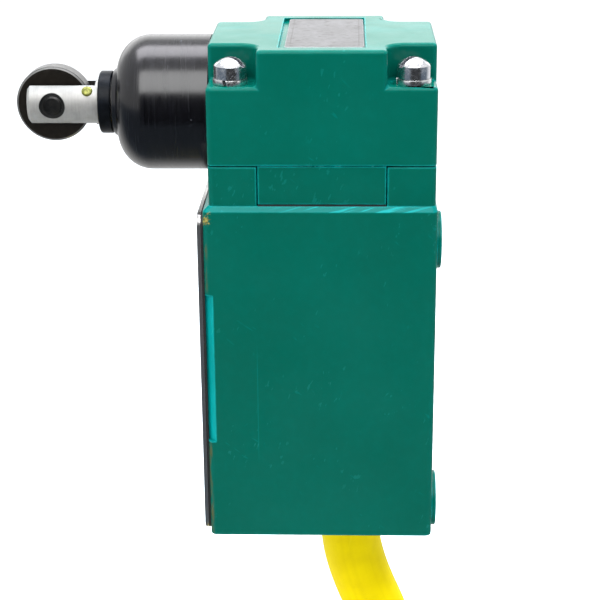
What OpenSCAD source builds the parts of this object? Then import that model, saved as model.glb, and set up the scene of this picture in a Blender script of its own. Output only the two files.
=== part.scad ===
// Limit switch with a side roller plunger and a sealed-in cable.
// Frame: +Z up, plunger towards -X, mounting face at X = 0.
// The origin is the centre of the four mounting holes, on the faces of the mounting bosses.

/* [Mounting] */
// Distance between the mounting holes across the switch
pattern_y = 29.4; // [29:0.1:32]
// Distance between the mounting holes up the switch
pattern_z = 59.5; // [59:0.1:62]
// Radius of the mounting holes
mount_hole_r = 2.6; // [2:0.1:3]
// Radius of the round bosses on the mounting face
boss_r = 6; // [5:0.1:7]
// Height of the bosses
boss_h = 1; // [0.5:0.1:3]

/* [Housing] */
// Width from the cover face to the mounting face
house_w = 48; // [44:0.5:62]
// Depth of the housing
house_d = 43.6; // [43:0.2:56]
// Height of the housing up to the head's seat
house_h = 74.4; // [72:0.2:100]
// Distance from the lower mounting holes down to the underside
hole_below = 6.05; // [5.5:0.05:12]
// Radius of the housing's upright edges
edge_r = 1.2; // [0.5:0.1:3]
// Height of the bevel that leads in to the head
bevel_h = 1.1; // [0.5:0.1:2]
// Thickness of the back wall
back_wall = 5; // [4:0.5:8]
// Thickness of the side walls
side_wall = 8.2; // [7:0.2:10]
// Thickness of the floor over the cable entry
floor_wall = 11.3; // [8:0.1:14]
// Thickness of the roof under the head
roof_wall = 14.6; // [12:0.2:18]
// Height of the corner posts
post_h = 8.2; // [6:0.1:12]
// Width of the worn flat on the front left upright edge
flat_w = 2.4; // [1:0.1:4]
// Length of that flat
flat_h = 33; // [10:1:40]

/* [Cover] */
// Thickness of the cover gasket
gasket_t = 0.5; // [0.3:0.1:1.5]
// Thickness of the cover plate
cover_t = 0.8; // [0.6:0.1:2]
// Distance from the edges of the housing's cover face to the cover
cover_inset = 0.8; // [0.4:0.1:2]
// Corner radius of the cover
cover_r = 2.4; // [1:0.1:4]
// Radius of the cover screws' shanks
cover_screw_r = 1.5; // [1:0.1:2]
// Length of the cover screws
cover_screw_len = 8; // [6:0.5:12]
// Height of the cover screws above and below the middle of the mounting holes
cover_screw_z = 13; // [8:0.5:16]

/* [Head] */
// Distance from the housing's cover side to the head's face
head_inset_left = 1.2; // [0.8:0.1:3]
// Distance from the housing's mounting side to the head's back
head_inset_right = 0.4; // [0.3:0.1:3]
// Distance from the housing's front to the head's front
head_inset_y = 0.8; // [0.5:0.1:2]
// Height of the lower block, up to the screw ledges
ledge_h = 16.05; // [14:0.05:22]
// Height of the upper block over the ledges
crown_h = 7.4; // [6:0.1:10]
// Width of the upper block between the screw notches
crown_w = 26.1; // [22:0.1:30]
// Depth of the upper block between the screw notches
crown_d = 26.4; // [22:0.1:30]
// Radius in the inner corners of the screw notches
notch_r = 4; // [2:0.1:6]
// Half depth of the tongue's arm that runs between the posts
tongue_arm = 10.8; // [8:0.1:12]
// Gap between the head and the posts
seam_gap = 0.2; // [0.1:0.05:0.5]
// Thickness of the head gasket
head_gasket_t = 0.3; // [0.2:0.1:1]
// Distance between the head screws along X
screw_pitch_x = 36.8; // [34:0.1:40]
// Distance between the head screws along Y
screw_pitch_y = 33.4; // [31:0.1:36]

/* [Head screws] */
// Radius of the screw heads
screw_head_r = 3.3; // [2.5:0.1:3.6]
// Height of the straight side of the screw heads
screw_side_h = 2.5; // [1.5:0.1:3]
// Height of the dome over it
screw_dome_h = 1.7; // [1:0.1:2.5]
// Width of the screw slots
screw_slot_w = 1.1; // [0.8:0.1:1.6]
// Depth of the screw slots below the top of the dome
screw_slot_depth = 2; // [1:0.1:2.5]
// Radius of the screw shanks
screw_r = 2; // [1.5:0.1:2.5]
// Depth of the shanks below the head's underside
screw_bite = 7.5; // [5:0.5:8]
// Outer radius of the lock washers
washer_r = 3.5; // [3:0.1:4]
// Thickness of the lock washers
washer_t = 1.2; // [0.6:0.1:1.6]

/* [Nameplate] */
// Width of the recess for the nameplate
recess_w = 17.4; // [12:0.1:20]
// Depth of the recess along Y
recess_d = 35.2; // [20:0.1:37]
// How deep the recess is sunk
recess_t = 0.8; // [0.4:0.1:1.2]
// Gap round the nameplate on each side
plate_gap = 0.7; // [0.2:0.1:1.5]
// Thickness of the nameplate
plate_t = 0.6; // [0.3:0.1:1]

/* [Plunger bushing] */
// Height of the plunger's axis over the head's underside
axis_h = 8.65; // [8:0.05:12]
// Radius of the bushing
bushing_r = 14.2; // [12:0.1:15]
// Length of the bushing
bushing_len = 20; // [18:0.1:26]
// Radius of the round shoulder on its nose
shoulder_r = 7; // [4:0.1:8]
// Length of the cone on the nose
nose_len = 0.9; // [0.5:0.1:2]
// Thickness of the nose's lip round the collar, at its root
nose_wall = 0.6; // [0.4:0.1:2]
// Radius of the spigot that screws into the head
spigot_r = 9.4; // [8.6:0.1:9.6]
// Length of that spigot
spigot_len = 8; // [5:0.5:10]

/* [Plunger] */
// Radius of the plunger
plunger_r = 4.76; // [4.2:0.02:4.9]
// Length of plunger that stands out of the bushing's nose
stick_out = 18.3; // [17:0.1:24]
// Travel of the plunger
travel = 5.5; // [3:0.1:6]
// Width of the fork's slot
slot_w = 5; // [4.4:0.1:5.4]
// Distance from the fork's tip to the root of its slot
slot_len = 14.3; // [14.2:0.1:18]
// Distance from the fork's tip to the roller's axis
roller_back = 5.4; // [4:0.1:6]
// Slope of the ramp that drives the push pin, down per length of travel
ramp_slope = 0.36; // [0.3:0.01:0.4]
// Radius of the stop ring
stop_r = 7.6; // [7:0.1:8.4]
// Thickness of the stop ring
stop_t = 2.5; // [2:0.1:4]
// Radius of the ramp section
cam_r = 6; // [5.4:0.1:6.4]
// Radius of the wiper collar
collar_r = 6.6; // [6:0.1:6.9]
// Thickness of the wiper collar
collar_t = 2.7; // [2:0.1:4]
// Free gap between the collar and the bushing's nose
collar_gap = 0.4; // [0.2:0.1:1]

/* [Roller] */
// Radius of the roller
roller_r = 7.94; // [7:0.02:8.2]
// Width of the roller
roller_w = 4.4; // [3.6:0.1:4.6]
// Chamfer on the roller's rims
roller_chamfer = 0.4; // [0.2:0.05:1]
// Outer radius of the sleeve in the roller
sleeve_r = 3; // [2.6:0.1:4]
// Radius of the roller pin
pin_r = 2; // [1.6:0.05:2.4]
// Radius of the counterbores round the pin's ends
countersink_r = 2.6; // [2:0.1:2.8]
// Depth of those counterbores
countersink_depth = 0.9; // [0.3:0.1:1.2]

/* [Return spring] */
// Mean radius of the return spring
spring_r = 4.6; // [4:0.1:5]
// Radius of its wire
spring_wire_r = 0.45; // [0.3:0.05:0.6]
// Turns of the return spring
spring_turns = 6; // [4:1:8]
// Thickness of the head's closed end behind the spring
end_wall = 4; // [3:0.1:6]
// Radius of the bore that holds the plunger's parts
chamber_r = 9.5; // [8.6:0.1:10]

/* [Push pin] */
// Radius of the push pin
push_r = 2.5; // [2:0.1:3]
// Outer radius of its guide and seal
guide_r = 4.5; // [4:0.1:5]
// Height of the rubber seal round the push pin
seal_h = 5.6; // [3:0.1:8]

/* [Contact block] */
// Height of the contact block
block_h = 28; // [26:0.5:34]
// Depth of the contact block
block_d = 25.6; // [24:0.2:26]
// Thickness of the block's floor and roof
block_wall = 2.5; // [2:0.1:4]
// Half width of the room inside the block
room_half = 8.5; // [8:0.1:9]
// Radius of the button
button_r = 2; // [1.5:0.1:2.6]
// Height that the button stands over the block
button_h = 3; // [2.5:0.1:4]
// Gap of the open contacts
contact_gap = 2.1; // [1.5:0.1:2.5]
// Thickness of the contact strips
strip_t = 0.8; // [0.5:0.1:1.2]
// Radius of the contact tips
tip_r = 1.4; // [0.8:0.1:1.6]
// Radius of the internal wires
wire_r = 0.75; // [0.5:0.05:1]

/* [Cable] */
// Distance from the mounting bosses' faces to the cable gland's axis
gland_back = 19.1; // [16:0.1:22]
// Radius of the threaded part of the gland
gland_r = 9.4; // [9:0.1:10]
// Thickness of the gland's hexagon
gland_hex_t = 3; // [2:0.1:5]
// Radius across the hexagon's corners
gland_hex_r = 11; // [10:0.1:13]
// Radius of the grommet inside the gland
grommet_r = 8.3; // [7.6:0.1:8.6]
// Length of the grommet's taper below the gland
grommet_taper = 4.4; // [4.4:0.1:20]
// Radius of the cable
cable_r = 6.8; // [5:0.1:7.2]
// Mean radius of the stored coil
coil_r = 75; // [70:1:90]
// Turns in the stored coil
coil_turns = 3; // [3:1:3]
// Distance between neighbouring turns
coil_pitch = 13.8; // [13.8:0.1:15]
// Room between the turns and the outline of the coil
coil_room = 0.3; // [0.2:0.1:1]

/* [Hidden] */

fn = 48;            // facets of round shapes
fit = 0.04;         // radial clearance of running fits
loose = 0.05;       // radial clearance of threads and drop-in parts
past = 1;           // how far a cut runs past the face it opens

// Housing box
house_right = -boss_h;
house_left = house_right - house_w;
house_bottom = -pattern_z / 2 - hole_below;
house_top = house_bottom + house_h;
cavity_right = house_right - back_wall;
cavity_half = house_d / 2 - side_wall;
cavity_bottom = house_bottom + floor_wall;
cavity_top = house_top - roof_wall;
flat_z = 3;

// Head box
head_left = house_left + head_inset_left;
head_right = house_right - head_inset_right;
head_w = head_right - head_left;
head_d = house_d - 2 * head_inset_y;
head_x = (head_left + head_right) / 2;
tongue_bottom = house_top + head_gasket_t;
head_bottom = house_top + post_h + seam_gap;
ledge_z = head_bottom + ledge_h;
head_top = ledge_z + crown_h;
plunger_z = head_bottom + axis_h;
washer_top = ledge_z + washer_t;
tongue_depth = head_bottom - tongue_bottom;

// Along the plunger
nose_x = head_left - bushing_len - nose_len;
tip_x = nose_x - stick_out;
roller_x = tip_x + roller_back;
root_x = tip_x + slot_len;
collar_right = nose_x - collar_gap;
counterbore_depth = travel - collar_gap + 0.3;
counterbore_r = collar_r + 0.15;
bushing_end = head_left + spigot_len;
seal_t = 1.1;
seal_bore_r = spigot_r + 0.7;
seal_r = seal_bore_r + 2;
stop_left = bushing_end + 0.1;
cam_left = stop_left + stop_t;
cam_right = head_x + 6.6;
chamber_end = head_right - end_wall;
cup_t = 1;
spring_left = cam_right + spring_wire_r;
spring_right = chamber_end - cup_t - spring_wire_r;

// Down the push pin
ramp_gap = 0.1;
ramp_low = plunger_z - cam_r;
ramp_foot = head_x - travel - push_r - 0.8;
ramp_z = ramp_low + (head_x - ramp_foot) * ramp_slope;
block_top = cavity_top - 6;
block_bottom = block_top - block_h;
button_top = block_top + button_h;
push_bottom = button_top + ramp_gap;
guide_top = plunger_z - chamber_r - 0.2;

// Contact block
block_left = house_left + 12.4;
block_right = cavity_right - loose;
block_cover_t = 1.5;
block_face = block_left - block_cover_t;
room_right = block_right - 3;
room_bottom = block_bottom + block_wall;
room_top = block_top - block_wall;
carrier_half_x = 3;
carrier_half_y = 2.5;
carrier_top = room_top - 3.5;
carrier_bottom = carrier_top - 11;
bridge_z = carrier_top - 6;
tip_h = 0.5;
contact_y = 5.6;
leaf_inner = 3.2;
upper_leaf_z = bridge_z + strip_t + tip_h + ramp_gap + tip_h;
lower_leaf_z = bridge_z - tip_h - contact_gap - tip_h - strip_t;
tab_x = block_left + 4;
tab_w = 2.6;
upper_tab_y = 6.9;
lower_tab_y = 4;
block_screw_y = (room_half + block_d / 2) / 2;
block_screw_r = 1.5;
block_screw_bite = 2.5;
potting_top = block_bottom - 6;

// Cover
cover_bottom = house_bottom + cover_inset;
cover_top = house_top - bevel_h - cover_inset;
cover_half = house_d / 2 - cover_inset;
cover_left = house_left - gasket_t - cover_t;
cover_screw_y = (cavity_half + cover_half) / 2;
cover_head_r = cover_screw_r + 1.3;

// Cable: the route hangs from the grommet's lower end to the start of the coil
gland_x = -gland_back;
hex_bottom = house_bottom - gland_hex_t;
grommet_bottom = hex_bottom - grommet_taper;
grommet_top = cavity_bottom + 2.5;
route = [
    [-18.8, 0, -43.2], [-18.1, 0, -48.9], [-16.7, 0, -54.5], [-14.7, 0, -60.1],
    [-12.5, 0.1, -65.4], [-10.7, 0.6, -70.9], [-9.5, 1.7, -76.4], [-8.9, 3.4, -81.9],
    [-8.7, 5.6, -87.4], [-8.7, 8.3, -92.5], [-8.7, 11.5, -97.3], [-8.7, 15.1, -101.8],
    [-8.7, 19.1, -105.9], [-8.7, 23.7, -109.7], [-8.7, 28.5, -113], [-8.7, 33.5, -115.7]];
coil_start_x = -8.7;
coil_z = -183;
coil_half = cable_r + coil_room;
coil_left = coil_start_x - coil_turns * coil_pitch - coil_half;
coil_right = coil_start_x + coil_half;
tie_angles = [150, 300];
tie_w = 4.8;
tie_t = 1.3;
end_r = 3;
end_angles = [64, 26];

// ---- shapes shared by several pieces ----

// Cylinder along X from x0 to x1
module x_bar(x0, x1, r, y = 0, z = 0) {
    translate([x0, y, z]) rotate([0, 90, 0]) cylinder(h = x1 - x0, r = r, $fn = fn);
}

// Cylinder along Y from y0 to y1
module y_bar(y0, y1, r, x = 0, z = 0) {
    translate([x, y1, z]) rotate([90, 0, 0]) cylinder(h = y1 - y0, r = r, $fn = fn);
}

// Cylinder along Z from z0 to z1
module z_bar(z0, z1, r, x = 0, y = 0) {
    translate([x, y, z0]) cylinder(h = z1 - z0, r = r, $fn = fn);
}

// Block between two corners
module block(low, high) {
    translate(low) cube(high - low);
}

// Extrude a plan outline from z0 to z1
module slab(z0, z1) {
    translate([0, 0, z0]) linear_extrude(z1 - z0) children();
}

// Rectangle with round corners, between two corners
module round_rect(low, high, r) {
    translate([low[0] + r, low[1]]) square([high[0] - low[0] - 2 * r, high[1] - low[1]]);
    translate([low[0], low[1] + r]) square([high[0] - low[0], high[1] - low[1] - 2 * r]);
    for (x = [low[0] + r, high[0] - r], y = [low[1] + r, high[1] - r])
        translate([x, y]) circle(r, $fn = fn);
}

// Each corner of a rectangle about the origin, as [x sign, y sign]
corners = [for (x = [-1, 1], y = [-1, 1]) [x, y]];

module at_mount_holes() {
    for (c = corners) translate([0, c[0] * pattern_y / 2, c[1] * pattern_z / 2]) children();
}

module at_head_screws() {
    for (c = corners)
        translate([head_x + c[0] * screw_pitch_x / 2, c[1] * screw_pitch_y / 2, 0]) children();
}

module at_cover_screws() {
    for (c = corners) translate([0, c[0] * cover_screw_y, c[1] * cover_screw_z]) children();
}

// Points round a helix of radius r along +Z, from z0 to z1
function helix(r, z0, z1, turns, steps) =
    [for (i = [0 : turns * steps]) let (a = 360 * i / steps)
        [r * cos(a), r * sin(a), z0 + (z1 - z0) * i / (turns * steps)]];

function unit(v) = v / norm(v);

// Direction of a path at point i
function heading(path, i) =
    unit(path[min(i + 1, len(path) - 1)] - path[max(i - 1, 0)]);

// Closed tube of radius r with flat ends, swept along a path.
// side is a direction that the path never runs along.
module tube(path, r, sides, side) {
    n = len(path);
    points = [for (i = [0 : n - 1])
        let (t = heading(path, i), u = unit(cross(side, t)), v = cross(t, u))
        for (k = [0 : sides - 1]) path[i] + r * (cos(360 * k / sides) * u + sin(360 * k / sides) * v)];
    walls = [for (i = [0 : n - 2], k = [0 : sides - 1])
        let (m = (k + 1) % sides)
        [i * sides + k, (i + 1) * sides + k, (i + 1) * sides + m, i * sides + m]];
    first = [for (k = [0 : sides - 1]) k];
    last = [for (k = [0 : sides - 1]) n * sides - 1 - k];
    polyhedron(points, concat(walls, [first, last]), convexity = 10);
}

// ---- housing ----

module house_outline() {
    round_rect([house_left, -house_d / 2], [house_right, house_d / 2], edge_r);
}

module head_outline() {
    round_rect([head_left, -head_d / 2], [head_right, head_d / 2], edge_r);
}

// Plan of the head's tongue, with a gap added all round
module tongue_plan(gap) {
    intersection() {
        head_outline();
        union() {
            translate([head_x - crown_w / 2 - gap, -head_d]) square([crown_w + 2 * gap, 2 * head_d]);
            translate([head_left - past, -tongue_arm - gap])
                square([head_w + 2 * past, 2 * tongue_arm + 2 * gap]);
        }
    }
}

// Box whose four top edges are bevelled in to the head's outline
module housing_block() {
    z_bevel = house_top - bevel_h;
    intersection() {
        slab(house_bottom, house_top) house_outline();
        rotate([90, 0, 0]) linear_extrude(2 * house_d, center = true)
            polygon([[house_left, house_bottom], [house_right, house_bottom], [house_right, z_bevel],
                [head_right, house_top], [head_left, house_top], [house_left, z_bevel]]);
        translate([house_left - past, 0, 0]) rotate([90, 0, 90]) linear_extrude(house_w + 2 * past)
            polygon([[-house_d / 2, house_bottom], [house_d / 2, house_bottom], [house_d / 2, z_bevel],
                [head_d / 2, house_top], [-head_d / 2, house_top], [-house_d / 2, z_bevel]]);
    }
}

module housing() {
    color("teal") difference() {
        union() {
            housing_block();
            slab(house_top - bevel_h, house_top + post_h) difference() {
                head_outline();
                tongue_plan(seam_gap);
            }
            at_mount_holes() x_bar(house_right - past, 0, boss_r);
        }
        block([house_left - past, -cavity_half, cavity_bottom], [cavity_right, cavity_half, cavity_top]);
        at_mount_holes() x_bar(house_left - past, past, mount_hole_r);
        at_head_screws() z_bar(head_bottom - screw_bite - past, head_bottom, screw_r + loose);
        at_cover_screws() cover_screw_shape(loose);
        z_bar(cavity_top - past, house_top + past, push_r + 0.5, head_x);
        z_bar(house_top - seal_h, house_top + past, guide_r + loose, head_x);
        z_bar(house_bottom - past, cavity_bottom + past, gland_r + loose, gland_x);
        block_screw_places() x_bar(cavity_right - past, cavity_right + block_screw_bite + 0.3,
            block_screw_r + loose);
        translate([house_left, -house_d / 2, flat_z]) rotate([0, 0, 45])
            cube([flat_w, flat_w, flat_h], center = true);
    }
}

// ---- cover ----

// Sheet of the cover's outline, t thick, whose far face is at x0
module cover_sheet(x0, t) {
    translate([x0, 0, 0]) rotate([90, 0, 90]) linear_extrude(t)
        round_rect([-cover_half, cover_bottom], [cover_half, cover_top], cover_r);
}

module cover_gasket() {
    color("black") difference() {
        cover_sheet(house_left - gasket_t, gasket_t);
        block([cover_left, -cavity_half, cavity_bottom], [house_left + past, cavity_half, cavity_top]);
        at_mount_holes() x_bar(cover_left, house_left + past, mount_hole_r);
        at_cover_screws() cover_screw_shape(loose);
    }
}

module cover_plate() {
    color("gray") difference() {
        cover_sheet(cover_left, cover_t);
        at_mount_holes() x_bar(cover_left - past, house_left, mount_hole_r);
        at_cover_screws() cover_screw_shape(loose);
    }
}

// Countersunk screw, grown by a clearance
module cover_screw_shape(gap) {
    cone_len = cover_head_r - cover_screw_r;
    translate([cover_left, 0, 0]) rotate([0, 90, 0]) {
        cylinder(h = cone_len, r1 = cover_head_r + gap, r2 = cover_screw_r + gap, $fn = fn);
        cylinder(h = cover_screw_len + gap, r = cover_screw_r + gap, $fn = fn);
    }
}

module cover_screws() {
    slot_w = 0.8;
    slot_depth = 0.6;
    color("silver") at_cover_screws() difference() {
        cover_screw_shape(0);
        translate([cover_left, 0, 0])
            cube([2 * slot_depth, slot_w, 2 * cover_head_r + past], center = true);
    }
}

// ---- head ----

// One screw notch in the plan of the upper block
module notch_plan() {
    x = crown_w / 2;
    y = crown_d / 2;
    reach = max(head_w, head_d);
    translate([x + notch_r, y]) square(reach);
    translate([x, y + notch_r]) square(reach);
    translate([x + notch_r, y + notch_r]) circle(notch_r, $fn = fn);
}

module crown_plan() {
    difference() {
        head_outline();
        for (c = corners)
            translate([head_x, 0]) mirror([c[0] > 0 ? 0 : 1, 0]) mirror([0, c[1] > 0 ? 0 : 1]) notch_plan();
    }
}

module head_body() {
    color("teal") difference() {
        union() {
            slab(tongue_bottom, head_bottom + past) tongue_plan(0);
            slab(head_bottom, ledge_z) head_outline();
            slab(ledge_z - past, head_top) crown_plan();
        }
        x_bar(head_left - past, chamber_end, chamber_r, 0, plunger_z);
        z_bar(tongue_bottom - past, plunger_z, guide_r + loose, head_x);
        at_head_screws() z_bar(head_bottom - past, head_top + past, screw_r + 0.15);
        block([head_x - recess_w / 2, -recess_d / 2, head_top - recess_t],
            [head_x + recess_w / 2, recess_d / 2, head_top + past]);
    }
}

module head_gasket() {
    color("black") slab(house_top, tongue_bottom) difference() {
        tongue_plan(0);
        translate([head_x, 0]) circle(push_r + 0.5, $fn = fn);
    }
}

module head_screws() {
    ball_r = (pow(screw_head_r, 2) + pow(screw_dome_h, 2)) / (2 * screw_dome_h);
    side_top = washer_top + screw_side_h;
    dome_top = side_top + screw_dome_h;
    color("silver") at_head_screws() difference() {
        union() {
            z_bar(washer_top, side_top, screw_head_r);
            intersection() {
                z_bar(side_top - past, dome_top, screw_head_r);
                translate([0, 0, dome_top - ball_r]) sphere(ball_r, $fn = fn);
            }
            z_bar(head_bottom - screw_bite, washer_top + past, screw_r);
        }
        rotate([0, 0, 35]) translate([0, 0, dome_top])
            cube([2 * screw_head_r + past, screw_slot_w, 2 * screw_slot_depth], center = true);
    }
}

module lock_washers() {
    slit = 0.6;
    color("silver") at_head_screws() difference() {
        z_bar(ledge_z, washer_top, washer_r);
        z_bar(ledge_z - past, washer_top + past, screw_r + 0.15);
        rotate([0, 0, 250]) translate([0, -slit / 2, ledge_z - past])
            cube([washer_r + past, slit, washer_t + 2 * past]);
    }
}

module nameplate() {
    z0 = head_top - recess_t;
    color("silver") slab(z0, z0 + plate_t)
        round_rect([head_x - recess_w / 2 + plate_gap, -recess_d / 2 + plate_gap],
            [head_x + recess_w / 2 - plate_gap, recess_d / 2 - plate_gap], 1);
}

// ---- plunger and its bushing ----

// Children drawn with +Z pointing along -X, from x0 on the plunger's axis
module outward(x0) {
    translate([x0, 0, plunger_z]) rotate([0, -90, 0]) children();
}

module plunger_bushing() {
    straight = bushing_len - shoulder_r;
    color("black") difference() {
        outward(head_left) union() {
            cylinder(h = straight, r = bushing_r, $fn = fn);
            cylinder(h = bushing_len, r = bushing_r - shoulder_r, $fn = fn);
            rotate_extrude($fn = fn) translate([bushing_r - shoulder_r, straight]) intersection() {
                circle(shoulder_r, $fn = fn);
                square(shoulder_r);
            }
            translate([0, 0, bushing_len])
                cylinder(h = nose_len, r1 = counterbore_r + nose_wall, r2 = counterbore_r + 0.2, $fn = fn);
            translate([0, 0, -spigot_len]) cylinder(h = spigot_len + past, r = spigot_r, $fn = fn);
        }
        x_bar(nose_x - past, bushing_end + past, plunger_r + fit, 0, plunger_z);
        x_bar(nose_x - past, nose_x + counterbore_depth, counterbore_r, 0, plunger_z);
        difference() {
            x_bar(head_left - seal_t - loose, head_left + past, seal_r + loose, 0, plunger_z);
            x_bar(head_left - seal_t - past, head_left + 2 * past, seal_bore_r - loose, 0, plunger_z);
        }
    }
}

module bushing_seal() {
    color("black") difference() {
        x_bar(head_left - seal_t, head_left, seal_r, 0, plunger_z);
        x_bar(head_left - seal_t - past, head_left + past, seal_bore_r, 0, plunger_z);
    }
}

// Everything of the cam section below the ramp
module ramp_cut() {
    x_end = cam_right + past;
    deep = 2 * cam_r;
    translate([0, cam_r + past, 0]) rotate([90, 0, 0]) linear_extrude(2 * cam_r + 2 * past)
        polygon([[ramp_foot, ramp_low - deep], [x_end, ramp_low - deep],
            [x_end, ramp_low + (x_end - ramp_foot) * ramp_slope], [ramp_foot, ramp_low]]);
}

module plunger() {
    chamfer = 0.6;
    pilot = 3;
    color("lightgray") difference() {
        union() {
            outward(tip_x + chamfer)
                cylinder(h = chamfer, r1 = plunger_r, r2 = plunger_r - chamfer, $fn = fn);
            x_bar(tip_x + chamfer, cam_left + past, plunger_r, 0, plunger_z);
            x_bar(cam_left, cam_right, cam_r, 0, plunger_z);
            x_bar(cam_right - past, cam_right + pilot, spring_r - spring_wire_r - 0.4, 0, plunger_z);
        }
        block([tip_x - past, -slot_w / 2, plunger_z - 2 * plunger_r],
            [root_x, slot_w / 2, plunger_z + 2 * plunger_r]);
        y_bar(-plunger_r - past, plunger_r + past, pin_r, roller_x, plunger_z);
        for (s = [0, 1]) mirror([0, s, 0])
            y_bar(plunger_r - countersink_depth, plunger_r + past, countersink_r, roller_x, plunger_z);
        index_pin_shape(past);
        ramp_cut();
    }
}

module stop_ring() {
    color("dimgray") difference() {
        x_bar(stop_left, cam_left, stop_r, 0, plunger_z);
        x_bar(stop_left - past, cam_left + past, plunger_r, 0, plunger_z);
    }
}

module wiper_collar() {
    color("black") difference() {
        x_bar(collar_right - collar_t, collar_right, collar_r, 0, plunger_z);
        x_bar(collar_right - collar_t - past, collar_right + past, plunger_r, 0, plunger_z);
    }
}

// Small pin staked into the near ear of the fork, standing out by top
module index_pin_shape(top) {
    sunk = 0.7;
    translate([root_x - 1.9, 0, plunger_z]) rotate([50, 0, 0])
        translate([0, 0, plunger_r - sunk]) cylinder(h = sunk + top, r = 0.85, $fn = fn);
}

module index_pin() {
    color("goldenrod") index_pin_shape(0.35);
}

module roller() {
    rim_y = roller_w / 2 - roller_chamfer;
    color("dimgray") difference() {
        union() {
            y_bar(-rim_y, rim_y, roller_r, roller_x, plunger_z);
            for (s = [0, 1])
                translate([roller_x, 0, plunger_z]) mirror([0, s, 0])
                    translate([0, rim_y, 0]) rotate([-90, 0, 0])
                        cylinder(h = roller_chamfer, r1 = roller_r, r2 = roller_r - roller_chamfer, $fn = fn);
        }
        y_bar(-roller_w, roller_w, sleeve_r, roller_x, plunger_z);
    }
}

module roller_sleeve() {
    color("goldenrod") difference() {
        y_bar(-roller_w / 2, roller_w / 2, sleeve_r, roller_x, plunger_z);
        y_bar(-roller_w, roller_w, pin_r + fit, roller_x, plunger_z);
    }
}

module roller_pin() {
    sunk = 0.5;
    half = plunger_r - sunk;
    color("black") y_bar(-half, half, pin_r, roller_x, plunger_z);
}

module return_spring() {
    path = [for (p = helix(spring_r, spring_left, spring_right, spring_turns, 14))
        [p[2], p[0], plunger_z + p[1]]];
    color("silver") tube(path, spring_wire_r, 8, [1, 0, 0]);
}

module spring_cup() {
    rim = 2;
    color("silver") difference() {
        x_bar(chamber_end - rim, chamber_end, chamber_r - loose, 0, plunger_z);
        x_bar(chamber_end - rim - past, chamber_end - cup_t, spring_r + spring_wire_r + 0.4, 0, plunger_z);
    }
}

// ---- push pin ----

module push_pin() {
    color("silver") difference() {
        z_bar(push_bottom, plunger_z, push_r, head_x);
        translate([0, cam_r, 0]) rotate([90, 0, 0]) linear_extrude(2 * cam_r)
            polygon([[head_x - 2 * push_r, ramp_z - 2 * push_r * ramp_slope - ramp_gap],
                [head_x + 2 * push_r, ramp_z + 2 * push_r * ramp_slope - ramp_gap],
                [head_x + 2 * push_r, plunger_z + past], [head_x - 2 * push_r, plunger_z + past]]);
    }
}

module pin_guide() {
    color("goldenrod") difference() {
        z_bar(tongue_bottom, guide_top, guide_r, head_x);
        z_bar(tongue_bottom - past, guide_top + past, push_r + fit, head_x);
    }
}

module pin_seal() {
    color("black") difference() {
        z_bar(house_top - seal_h, house_top, guide_r, head_x);
        z_bar(house_top - seal_h - past, house_top + past, push_r + fit, head_x);
    }
}

// ---- contact block ----

module block_screw_places() {
    translate([0, block_screw_y, block_top - 5]) children();
    translate([0, -block_screw_y, block_bottom + 5]) children();
}

module switch_base() {
    color("dimgray") difference() {
        block([block_left, -block_d / 2, block_bottom], [block_right, block_d / 2, block_top]);
        block([block_left - past, -room_half, room_bottom], [room_right, room_half, room_top]);
        z_bar(room_top - past, block_top + past, button_r + fit, head_x);
        block_screw_places() x_bar(block_left - past, block_right + past, block_screw_r + loose);
        for (y = [-upper_tab_y, -lower_tab_y, lower_tab_y, upper_tab_y])
            z_bar(block_bottom - past, room_bottom + past, wire_r + 0.2, tab_x - 1.6, y);
    }
}

module switch_cover() {
    color("lightgray") difference() {
        block([block_face, -block_d / 2, block_bottom], [block_left, block_d / 2, block_top]);
        block_screw_places() x_bar(block_face - past, block_left + past, block_screw_r + loose);
    }
}

module switch_screws() {
    head_h = 1.8;
    head_r = 2.1;
    slot_depth = 0.8;
    slot_width = 0.7;
    color("silver") block_screw_places() difference() {
        union() {
            x_bar(block_face, cavity_right + block_screw_bite, block_screw_r);
            x_bar(block_face - head_h, block_face, head_r);
        }
        translate([block_face - head_h, 0, 0]) cube([slot_depth * 2, slot_width, 4 * head_r], center = true);
    }
}

module switch_button() {
    color("orange") z_bar(carrier_top, button_top, button_r, head_x);
}

module contact_carrier() {
    color("white") difference() {
        block([head_x - carrier_half_x, -carrier_half_y, carrier_bottom],
            [head_x + carrier_half_x, carrier_half_y, carrier_top]);
        block([head_x - tip_r - loose, -2 * carrier_half_y, bridge_z - loose],
            [head_x + tip_r + loose, 2 * carrier_half_y, bridge_z + strip_t + loose]);
    }
}

module bridge_contact() {
    color("peru") union() {
        block([head_x - tip_r, -contact_y - tip_r, bridge_z],
            [head_x + tip_r, contact_y + tip_r, bridge_z + strip_t]);
        for (s = [-1, 1])
            z_bar(bridge_z - tip_h, bridge_z + strip_t + tip_h, tip_r, head_x, s * contact_y);
    }
}

module contact_spring() {
    wire = 0.35;
    coil = helix(2.2, room_bottom + wire, carrier_bottom - wire, 5, 12);
    path = [for (p = coil) [head_x + p[0], p[1], p[2]]];
    color("silver") tube(path, wire, 6, [0, 0, 1]);
}

// One fixed contact: a leaf, its tip and the tab that takes the wire. up is +1 when the tip points up.
module fixed_contact(side, z, tab_y, up) {
    leaf_end = room_half - 0.3;
    tip_z = up > 0 ? z + strip_t : z - tip_h;
    leaf_left = min(tab_x, head_x - 4);
    union() {
        mirror([0, side > 0 ? 0 : 1, 0]) {
            block([leaf_left, leaf_inner, z], [head_x + 4, leaf_end, z + strip_t]);
            z_bar(tip_z, tip_z + tip_h, tip_r, head_x, contact_y);
            block([tab_x, tab_y - tab_w / 2, up > 0 ? z - tab_w : z],
                [tab_x + strip_t, tab_y + tab_w / 2, up > 0 ? z + strip_t : z + strip_t + tab_w]);
        }
    }
}

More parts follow.
